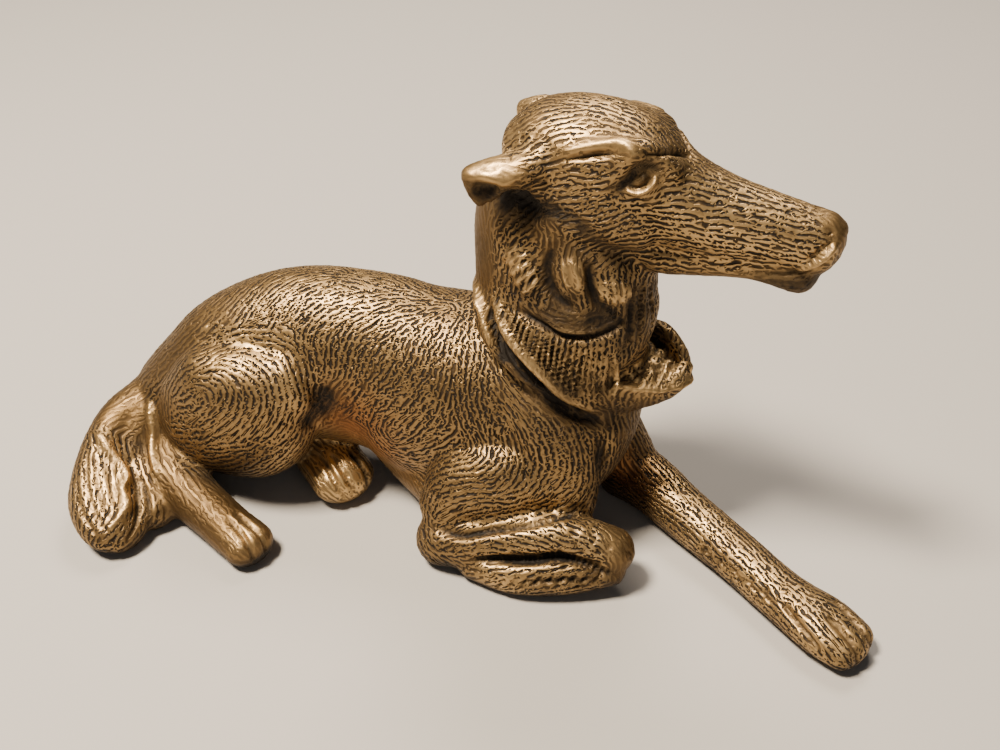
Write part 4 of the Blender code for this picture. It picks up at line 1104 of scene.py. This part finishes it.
def unrolled(corners, at, normals, direction, spacing, angle):
    """Turns at each corner: first + step + wrap(phase - first - step), backwards where hair faces away."""
    first = corners[:, :1]
    across = np.cross(normals, direction)
    same = np.where((direction[corners] * direction[first]).sum(2) < 0, -1.0, 1.0)
    mean_across = (across[first] + across[corners] * same[..., None]) / 2
    mean_spacing = (spacing[corners] + spacing[first]) / 2
    step = 2 * math.pi * ((at[corners] - at[first]) * mean_across).sum(2) / mean_spacing
    rest = same * angle[corners] - angle[first] - step
    rest = (rest + math.pi) % (2 * math.pi) - math.pi
    return (angle[first] + step + rest) / (2 * math.pi)


nearest = nearest_table(carved, bare, 1)[0][:, 0]
corners = read_vectors(hound_mesh.loops, "vertex_index", 1, np.int32).reshape(-1, 3)
moved = ((bare - carved[nearest]) * fine_across[nearest]).sum(1)
angle = np.arctan2(imag, real)[nearest] + 2 * math.pi * moved / spacing[nearest]
strand = unrolled(corners, bare, fine_normals[nearest], fine_direction[nearest], spacing[nearest], angle)
layer = hound_mesh.attributes.new("strand", "FLOAT", "CORNER")
layer.data.foreach_set("value", strand.ravel())
# a pit, a groove and a fine or a broad ridge count in full from these depths and heights on
FULL_PIT, FULL_GROOVE, FULL_FINE_RIDGE, FULL_BROAD_RIDGE = 0.25, 0.65, 0.6, 2.5
cut_value = cut_depth[nearest]
pit_value = np.clip(-pits[nearest] / FULL_PIT, 0, 1)
engraved_value = np.clip(-modelled[nearest] / FULL_GROOVE, 0, 1)
raised_value = fine_push[nearest] / FULL_FINE_RIDGE + carried_push[nearest] / FULL_BROAD_RIDGE
raised_value = np.clip(raised_value, 0, 1)
print("turns within a triangle: mean", np.ptp(strand, axis=1).mean().round(2), "largest",
      np.ptp(strand, axis=1).max().round(2))

# %% [markdown]
# ## Where the bronze is dark, bright or red
# Patina is dirt and oxide that rubbing hands can't reach; part of the dark is painted shade.  Six things are
# worked
# out for each point: the depth of its hair cuts, whether it lies in a pit, how far the figure and the shelf
# shut it in (painted shade, and patina in the hollows), how far it is worn or lit by a painted highlight, how
# far it is darkened by grime or painted shade, and whether it is copper red.  They are stored on the points
# as attributes, so every view shows the same metal.

# %% Painted shade and patina in hollows: rays that meet the figure or the shelf near by
RAYS = 40
RAY_REACH = 16.0
RAY_START = 0.25


def occlusion_share(tree, at, normals):
    """Share of rays over the half sphere, weighed by cosine, that meet figure or shelf within reach."""
    turn = np.arange(RAYS) * math.pi * (3 - math.sqrt(5))
    rise = np.sqrt((np.arange(RAYS) + 0.5) / RAYS)
    flat = np.sqrt(1 - rise ** 2)
    local = np.stack([flat * np.cos(turn), flat * np.sin(turn), rise], -1)
    a, b = tangent_axes(normals)
    shade_and_oxide = np.zeros(len(at))
    for i, (place, normal) in enumerate(zip(at, normals)):
        rays = local[:, :1] * a[i] + local[:, 1:2] * b[i] + local[:, 2:] * normal
        begin = place + normal * RAY_START
        for ray, cosine in zip(rays, rise):
            gap = tree.ray_cast(Vector(begin), Vector(ray), RAY_REACH)[3]
            shelf = -begin[2] / ray[2] if ray[2] < -0.01 else RAY_REACH
            gap = min(RAY_REACH if gap is None else gap, shelf)
            shade_and_oxide[i] += cosine * (1 - gap / RAY_REACH)
    return shade_and_oxide / rise.sum()


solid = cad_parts[NODE].data
solid_places = read_vectors(solid.vertices, "co", 3) / UNIT
solid_normals = read_vectors(solid.vertex_normals, "vector", 3)
keep = np.unique(solid_places.round(2), axis=0, return_index=True)[1]
solid_tree = BVHTree.FromPolygons(solid_places.tolist(), [tuple(face.vertices) for face in solid.polygons])
shade_and_oxide_coarse = occlusion_share(solid_tree, solid_places[keep], solid_normals[keep])
print("hidden share at", len(keep), "places, mean", shade_and_oxide_coarse.mean().round(2))

# %% Carry the shade share onto the casting, and mark worn and highlighted, shaded and grimy, and reddish places
index, weight = nearest_table(solid_places[keep], bare, 4)
# painted shade near the shelf and under and between parts, and patina in the hollows, from the share of
# blocked rays
shade_and_oxide_value = (shade_and_oxide_coarse[index] * weight).sum(1)
WEAR_AND_HIGHLIGHT = [
    # pixel of the photo, reach, strength: where hands and shelves have rubbed the casting bright, and painted
    # highlights on the lit tops of the skull, muzzle, back and haunch, on curls and the bib, and on the far
    # hind paw
    ((340, 470), 7, 1.0),
    ((490, 166), 3, 1.0),
    ((531, 103), 4, 1.0),
    ((766, 194), 6, 0.6),
    ((740, 225), 9, 0.55),
    ((827, 255), 1.3, 1.0),
    ((814, 263), 1.3, 1.0),
    ((616, 372), 1.0, 1.0),
    ((650, 389), 1.6, 0.8),
    ((680, 385), 1.6, 0.8),
    ((122, 485), 1.6, 0.9),
    ((105, 448), 1.6, 0.9),
    ((105, 490), 5, 0.45),
    ((250, 533), 3, 0.55),
    ((665, 498), 4, 0.55),
    ((700, 528), 4, 0.5),
    ((750, 575), 5, 0.35),
    ((830, 625), 6, 0.4),
    ((540, 540), 5, 0.45),
    ((500, 578), 4, 0.55),
    ((594, 537), 4, 0.6),
    ((265, 345), 7, 0.35),
    ((700, 205), 9, 0.35),
    ((790, 238), 6, 0.5),
    ((590, 120), 9, 0.3),
    ((285, 382), 5, 0.35),
    ((330, 278), 10, 0.25),
    ((517, 262), 2.5, 0.4),
    ((600, 372), 3, 0.4),
    ((672, 362), 4.0, 0.8),
    ((645, 375), 3.0, 0.5),
]
SHADE_AND_GRIME = [
    # pixel, reach, strength: painted shade on the cheek, the shoulder, the ruff under the head, under the
    # jaw, belly and paws, and dirt and oxide in the ear, the eye and the other hollows
    ((480, 193), 2.6, 1.0),
    ((505, 202), 3, 0.95),
    ((540, 210), 3.5, 0.65),
    ((585, 232), 3, 0.4),
    ((640, 262), 3, 0.5),
    ((600, 325), 4, 0.95),
    ((555, 316), 5, 0.75),
    ((560, 385), 5, 0.8),
    ((530, 290), 5, 0.7),
    ((640, 300), 5, 0.75),
    ((580, 262), 5, 0.5),
    ((625, 335), 5, 0.7),
    ((626, 353), 1.6, 1.0),
    ((613, 412), 4.5, 0.6),
    ((655, 404), 4, 0.5),
    ((483, 250), 4, 0.45),
    ((332, 408), 5.5, 0.3),
    ((612, 222), 6, 0.3),
    ((592, 242), 6, 0.35),
    ((300, 440), 3, 0.4),
    ((595, 488), 3, 0.6),
    ((138, 446), 2.4, 0.25),
    ((600, 215), 4, 0.3),
    ((818, 278), 2.2, 0.9),
    ((806, 284), 2.2, 0.9),
    ((792, 286), 2.2, 0.9),
    ((778, 284), 2.2, 0.85),
    ((762, 281), 2.2, 0.7),
    ((846, 656), 3.2, 0.7),
    ((264, 556), 2.6, 0.75),
    ((644, 177), 1.1, 1.0),
    ((560, 270), 6, 0.3),
    ((600, 372), 5, 0.75),
    ((540, 350), 5, 0.75),
    ((560, 430), 6, 0.45),
    ((600, 470), 6, 0.4),
    ((620, 238), 4, 0.3),
    ((425, 545), 4, 0.4),
    ((610, 580), 3, 0.5),
    ((200, 520), 4, 0.4),
    ((560, 350), 3, 0.5),
    ((520, 330), 3, 0.5),
]
REDDISH = [
    # pixel, reach, strength: copper red where the patina never settled
    ((352, 424), 6, 0.9),
    ((375, 445), 5, 0.7),
    ((622, 474), 4, 0.8),
    ((636, 484), 4, 0.6),
]


def seen_spots(spots):
    """Each spot on the skin where the photo shows it, and its mirror image on the far side."""
    placed = []
    for pixel, reach, strength in spots:
        for place in seen_on(first_tree, [pixel]):
            placed.append((place, reach, strength))
            placed.append((other_side([place])[0], reach, strength))
    return placed


def soft_spots(at, spots):
    """Largest of strength * exp(-(distance / reach)^2) over the spots."""
    value = np.zeros(len(at))
    for centre, reach, strength in spots:
        gap = np.linalg.norm(at - np.array(centre) - TO_FIGURE, axis=1)
        value = np.maximum(value, strength * np.exp(-(gap / reach) ** 2))
    return value


# raised strokes are painted brighter: wear on high points, and painted highlights
RAISED_WEAR_AND_HIGHLIGHT = 0.7
wear_and_highlight_value = np.maximum(soft_spots(bare, seen_spots(WEAR_AND_HIGHLIGHT)), RAISED_WEAR_AND_HIGHLIGHT * raised_value)
# painted shade and grime: the spots above, and the carved recesses darkened by their depth
shade_and_grime_value = np.maximum(soft_spots(bare, seen_spots(SHADE_AND_GRIME)), engraved_value)
reddish_value = soft_spots(bare, seen_spots(REDDISH))
for name, value in (("depth", cut_value), ("pitted", pit_value), ("shade_and_oxide", shade_and_oxide_value),
                    ("wear_and_highlight", wear_and_highlight_value), ("shade_and_grime", shade_and_grime_value), ("reddish", reddish_value)):
    layer = hound_mesh.attributes.new(name, "FLOAT", "POINT")
    layer.data.foreach_set("value", value)
    print(name, "mean", value.mean().round(3), "largest", value.max().round(3))

# %% [markdown]
# ## The finished piece
# The casting is put in metres, shaded smooth, and stands for the solid of the frame.

# %% Make the object and hand it over
hound_mesh.vertices.foreach_set("co", (bare * UNIT).ravel())
hound_mesh.shade_smooth()
hound_mesh.update()
hound = bpy.data.objects.new("hound_casting", hound_mesh)
bpy.context.scene.collection.objects.link(hound)
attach(hound, "root")
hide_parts(NODE)

# %% [markdown]
# ## Three shader groups
# The first group draws the chased cuts from the phase: where a cut is dark, where a hair's top is rubbed, and
# how deep to sink.  The patina group mixes the metal's colours from the masks, painted shade and painted
# highlights among them.  The grain group gives the fine tooth of a casting.  Any other bronze could use them
# with its own values.

# %% Helpers for nodes


def new_group(name, inputs, outputs):
    """A shader group with named sockets; each is (name, kind, default)."""
    group = bpy.data.node_groups.new(name, "ShaderNodeTree")
    for label, kind, default in inputs:
        socket = group.interface.new_socket(label, in_out="INPUT", socket_type=kind)
        if default is not None:
            socket.default_value = default
    for label, kind in outputs:
        group.interface.new_socket(label, in_out="OUTPUT", socket_type=kind)
    entry = group.nodes.new("NodeGroupInput")
    leave = group.nodes.new("NodeGroupOutput")
    return group, entry, leave


def maths(tree, operation, first, second=None, third=None, clamp=False):
    """A Math node; each input is a number or a socket."""
    node = tree.nodes.new("ShaderNodeMath")
    node.operation = operation
    node.use_clamp = clamp
    for slot, value in enumerate((first, second, third)):
        if value is None:
            continue
        if isinstance(value, (int, float)):
            node.inputs[slot].default_value = value
        else:
            tree.links.new(value, node.inputs[slot])
    return node.outputs[0]


def mixed(tree, share, first, second):
    """Colour: first where the share is 0, second where it is 1."""
    node = tree.nodes.new("ShaderNodeMix")
    node.data_type = "RGBA"
    sockets = (node.inputs[0], node.inputs[6], node.inputs[7])
    for socket, value in zip(sockets, (share, first, second)):
        if isinstance(value, (int, float, tuple)):
            socket.default_value = value
        else:
            tree.links.new(value, socket)
    return node.outputs[2]


def noise(tree, where, scale, detail, roughness=0.5):
    """A Noise texture's value at a scale."""
    node = tree.nodes.new("ShaderNodeTexNoise")
    node.inputs["Scale"].default_value = scale
    node.inputs["Detail"].default_value = detail
    node.inputs["Roughness"].default_value = roughness
    tree.links.new(where, node.inputs["Vector"])
    return node.outputs["Fac"]


def ramp(tree, value, low, high):
    """0 below low, 1 above high, straight between."""
    node = tree.nodes.new("ShaderNodeMapRange")
    tree.links.new(value, node.inputs["Value"])
    node.inputs["From Min"].default_value = low
    node.inputs["From Max"].default_value = high
    return node.outputs["Result"]


# %% The chased cuts group
COLOUR, NUMBER, ARROW = "NodeSocketColor", "NodeSocketFloat", "NodeSocketVector"
DEEPEST_CUT = 0.2
chased, entry, leave = new_group(
    "chased_cuts", [("Where", ARROW, None), ("Strand", NUMBER, 0.0), ("Depth", NUMBER, 0.0)],
    [("Cut", NUMBER), ("Ridge", NUMBER), ("Height", NUMBER)])
where = entry.outputs["Where"]
wobble = maths(chased, "MULTIPLY_ADD", noise(chased, where, 500, 1), 0.2, -0.1)
turns = maths(chased, "ADD", entry.outputs["Strand"], wobble)
wave = maths(chased, "COSINE", maths(chased, "MULTIPLY", turns, 2 * math.pi))
share = maths(chased, "MULTIPLY_ADD", wave, -0.5, 0.5)
uneven = noise(chased, where, 300, 2)
narrow = maths(chased, "MULTIPLY_ADD", uneven, 0.16, 0.4)
edge = ramp(chased, maths(chased, "SUBTRACT", share, narrow), -0.2, 0.22)
strength = maths(chased, "DIVIDE", entry.outputs["Depth"], DEEPEST_CUT, clamp=True)
strength = maths(chased, "POWER", strength, 0.7)
chased.links.new(maths(chased, "MULTIPLY", edge, strength), leave.inputs["Cut"])
top = maths(chased, "MULTIPLY", ramp(chased, share, 0.4, 0.0), strength)
chased.links.new(top, leave.inputs["Ridge"])
rounded = maths(chased, "POWER", share, 2.0)
sunk = maths(chased, "MULTIPLY", maths(chased, "ADD", rounded, edge), entry.outputs["Depth"])
chased.links.new(maths(chased, "MULTIPLY", sunk, -0.5 * UNIT), leave.inputs["Height"])

# %% The patina group, which also paints shade and highlights into the colour
oxide_and_light, entry, leave = new_group(
    "bronze_oxide_and_light",
    [("Where", ARROW, None), ("Cut", NUMBER, 0.0), ("Shade_and_oxide", NUMBER, 0.0), ("Wear_and_highlight", NUMBER, 0.0),
     ("Shade_and_grime", NUMBER, 0.0), ("Reddish", NUMBER, 0.0), ("Metal", COLOUR, (0.15, 0.09, 0.036, 1)),
     ("Bright", COLOUR, (0.68, 0.46, 0.21, 1)), ("Oxide_grime_and_shade", COLOUR, (0.01, 0.006, 0.0025, 1)),
     ("Red", COLOUR, (0.3, 0.1, 0.025, 1))],
    [("Color", COLOUR), ("Roughness", NUMBER), ("Metallic", NUMBER)])
where = entry.outputs["Where"]
cloud = noise(oxide_and_light, where, 90, 4)
speck = noise(oxide_and_light, where, 1100, 3, 0.7)
# painted shade, and patina in the hollows: the blocked-ray share darkens the colour
shade_and_oxide = ramp(oxide_and_light, entry.outputs["Shade_and_oxide"], 0.12, 0.55)
shade_and_oxide = maths(oxide_and_light, "MULTIPLY", shade_and_oxide, maths(oxide_and_light, "MULTIPLY_ADD", cloud, 0.8, 0.6))
film = maths(oxide_and_light, "MULTIPLY", ramp(oxide_and_light, cloud, 0.35, 0.8), 0.3)
oxide_grime_and_shade = maths(oxide_and_light, "ADD", maths(oxide_and_light, "MULTIPLY", shade_and_oxide, 0.7), film)
oxide_grime_and_shade = maths(oxide_and_light, "ADD", oxide_grime_and_shade, maths(oxide_and_light, "MULTIPLY_ADD", speck, 0.5, -0.25))
oxide_grime_and_shade = maths(oxide_and_light, "SUBTRACT", oxide_grime_and_shade, maths(oxide_and_light, "MULTIPLY", entry.outputs["Wear_and_highlight"], 0.7))
# painted shade and grime from the spot mask, speckled
grime_and_shade_speckled = maths(oxide_and_light, "MULTIPLY", entry.outputs["Shade_and_grime"], maths(oxide_and_light, "MULTIPLY_ADD", speck, 0.5, 0.6))
oxide_grime_and_shade = maths(oxide_and_light, "MULTIPLY_ADD", grime_and_shade_speckled, 1.05, oxide_grime_and_shade, clamp=True)
oxide_grime_and_shade = maths(oxide_and_light, "MAXIMUM", oxide_grime_and_shade, maths(oxide_and_light, "MULTIPLY", entry.outputs["Cut"], 0.96))
# worn metal and painted highlights turn towards the bright colour
wear_and_sheen = maths(oxide_and_light, "MULTIPLY", entry.outputs["Wear_and_highlight"], maths(oxide_and_light, "MULTIPLY_ADD", speck, 0.9, 0.5))
wear_and_sheen = maths(oxide_and_light, "MULTIPLY", wear_and_sheen, maths(oxide_and_light, "SUBTRACT", 1.0, entry.outputs["Cut"]), clamp=True)
colour = mixed(oxide_and_light, wear_and_sheen, entry.outputs["Metal"], entry.outputs["Bright"])
copper = maths(oxide_and_light, "MULTIPLY", entry.outputs["Reddish"], 0.75)
colour = mixed(oxide_and_light, copper, colour, entry.outputs["Red"])
# near black where patina, grime and painted shade lie
colour = mixed(oxide_and_light, oxide_grime_and_shade, colour, entry.outputs["Oxide_grime_and_shade"])
oxide_and_light.links.new(colour, leave.inputs["Color"])
gloss = maths(oxide_and_light, "MULTIPLY_ADD", oxide_grime_and_shade, 0.2, 0.42)
gloss = maths(oxide_and_light, "MULTIPLY_ADD", speck, 0.14, gloss)
gloss = maths(oxide_and_light, "SUBTRACT", gloss, maths(oxide_and_light, "MULTIPLY", wear_and_sheen, 0.08))
oxide_and_light.links.new(gloss, leave.inputs["Roughness"])
oxide_and_light.links.new(maths(oxide_and_light, "MULTIPLY_ADD", oxide_grime_and_shade, -0.5, 0.97), leave.inputs["Metallic"])

# %% The grain group
grain, entry, leave = new_group(
    "cast_grain", [("Where", ARROW, None), ("Coarse", NUMBER, 700.0), ("Fine", NUMBER, 2600.0)],
    [("Height", NUMBER)])
heights = []
for label, share in (("Coarse", 0.65), ("Fine", 0.35)):
    lumps = grain.nodes.new("ShaderNodeTexNoise")
    lumps.inputs["Detail"].default_value = 3
    grain.links.new(entry.outputs["Where"], lumps.inputs["Vector"])
    grain.links.new(entry.outputs[label], lumps.inputs["Scale"])
    heights.append(maths(grain, "MULTIPLY", lumps.outputs["Fac"], share))
grain.links.new(maths(grain, "ADD", *heights), leave.inputs["Height"])


def placed(tree, group, **values):
    """A group node in a material, with its own values."""
    node = tree.nodes.new("ShaderNodeGroup")
    node.node_tree = group
    for label, value in values.items():
        node.inputs[label].default_value = value
    return node


# %% Worn bronze, with painted shade and highlights in its colour
bronze = bpy.data.materials.new("wear_and_light_bronze")
bronze.use_nodes = True
tree = bronze.node_tree
shader = tree.nodes["Principled BSDF"]
spot = tree.nodes.new("ShaderNodeTexCoord").outputs["Object"]
cuts_made = placed(tree, chased)
metal = placed(tree, oxide_and_light)
tooth = placed(tree, grain)
mask = {}
for label in ("strand", "depth", "pitted", "shade_and_oxide", "wear_and_highlight", "shade_and_grime", "reddish"):
    reader = tree.nodes.new("ShaderNodeAttribute")
    reader.attribute_name = label
    mask[label] = reader.outputs["Fac"]
for group in (cuts_made, metal, tooth):
    tree.links.new(spot, group.inputs["Where"])
tree.links.new(mask["strand"], cuts_made.inputs["Strand"])
tree.links.new(mask["depth"], cuts_made.inputs["Depth"])
for label in ("shade_and_oxide", "shade_and_grime", "reddish"):
    tree.links.new(mask[label], metal.inputs[label.capitalize()])
RIDGE_WEAR = 0.34
PIT_DARKNESS = 0.55
# the tops of the hair lines are worn bright; the spot mask adds wear and painted highlights
wear_and_light = maths(tree, "MULTIPLY_ADD", cuts_made.outputs["Ridge"], RIDGE_WEAR, mask["wear_and_highlight"], clamp=True)
tree.links.new(wear_and_light, metal.inputs["Wear_and_highlight"])
pit_dark = maths(tree, "MULTIPLY", mask["pitted"], PIT_DARKNESS)
dark = maths(tree, "MAXIMUM", cuts_made.outputs["Cut"], pit_dark)
tree.links.new(dark, metal.inputs["Cut"])
TOOTH_HEIGHT = 0.00006
height = maths(tree, "MULTIPLY_ADD", tooth.outputs["Height"], TOOTH_HEIGHT, cuts_made.outputs["Height"])
bump = tree.nodes.new("ShaderNodeBump")
bump.inputs["Strength"].default_value = 1.0
bump.inputs["Distance"].default_value = 1.0
tree.links.new(height, bump.inputs["Height"])
tree.links.new(bump.outputs["Normal"], shader.inputs["Normal"])
for label, socket in (("Color", "Base Color"), ("Roughness", "Roughness"), ("Metallic", "Metallic")):
    tree.links.new(metal.outputs[label], shader.inputs[socket])
hound_mesh.materials.clear()
hound_mesh.materials.append(bronze)
hound_mesh.polygons.foreach_set("material_index", np.zeros(len(hound_mesh.polygons), np.int32))

# %% [markdown]
# ## Floor, light and camera
# The stage is a plain pale floor under soft studio light.  The photo was taken from close by, a little above
# and to the right of the figure's side, so the head is large against the rump.  The camera stands there, only
# 165 units away.

# %% The stage
floor_mesh = bpy.data.meshes.new("floor")
HALF_FLOOR = 3.0
floor_corners = [(x * HALF_FLOOR, y * HALF_FLOOR, 0) for x, y in ((-1, -1), (1, -1), (1, 1), (-1, 1))]
floor_mesh.from_pydata(floor_corners, [], [(0, 1, 2, 3)])
floor = bpy.data.objects.new("floor", floor_mesh)
bpy.context.scene.collection.objects.link(floor)
pale = bpy.data.materials.new("pale_floor")
pale.use_nodes = True
matte = pale.node_tree.nodes["Principled BSDF"]
matte.inputs["Base Color"].default_value = (0.42, 0.4, 0.38, 1)
matte.inputs["Roughness"].default_value = 0.75
floor_mesh.materials.append(pale)

# %% Soft lights
LOOK_AT = Vector((np.array((0, 0, LOOK_HEIGHT)) + TO_FIGURE) * UNIT)


def soft_light(name, place, size, power, colour):
    """A square area light that faces the figure."""
    lamp = bpy.data.lights.new(name, "AREA")
    lamp.shape = "SQUARE"
    lamp.size = size
    lamp.energy = power
    lamp.color = colour
    holder = bpy.data.objects.new(name, lamp)
    bpy.context.scene.collection.objects.link(holder)
    aim = (LOOK_AT - Vector(place)).to_track_quat("-Z", "Y")
    holder.matrix_world = Matrix.Translation(place) @ aim.to_matrix().to_4x4()


soft_light("key", (-0.18, -0.12, 0.52), 0.12, 9.5, (1.0, 0.86, 0.68))
soft_light("second", (-0.05, 0.36, 0.50), 0.2, 3.0, (1.0, 0.88, 0.74))
soft_light("fill", (0.42, -0.50, 0.30), 0.5, 0.45, (1.0, 0.92, 0.84))
world = bpy.data.worlds.new("room")
bpy.context.scene.world = world
world.use_nodes = True
world.node_tree.nodes["Background"].inputs["Color"].default_value = (0.9, 0.93, 1.0, 1)
world.node_tree.nodes["Background"].inputs["Strength"].default_value = 0.06

# %% The camera
camera = bpy.data.cameras.new("camera")
camera.sensor_width = 36
camera.lens = 18 / math.tan(HALF_VIEW)
camera.clip_start = 0.01
viewer = bpy.data.objects.new("camera", camera)
bpy.context.scene.collection.objects.link(viewer)
turn = Matrix((RIGHT, UP, BACK)).transposed().to_4x4()
viewer.matrix_world = Matrix.Translation(LOOK_AT + BACK * AWAY * UNIT) @ turn
bpy.context.scene.camera = viewer
print("camera at", [round(c, 3) for c in viewer.location])
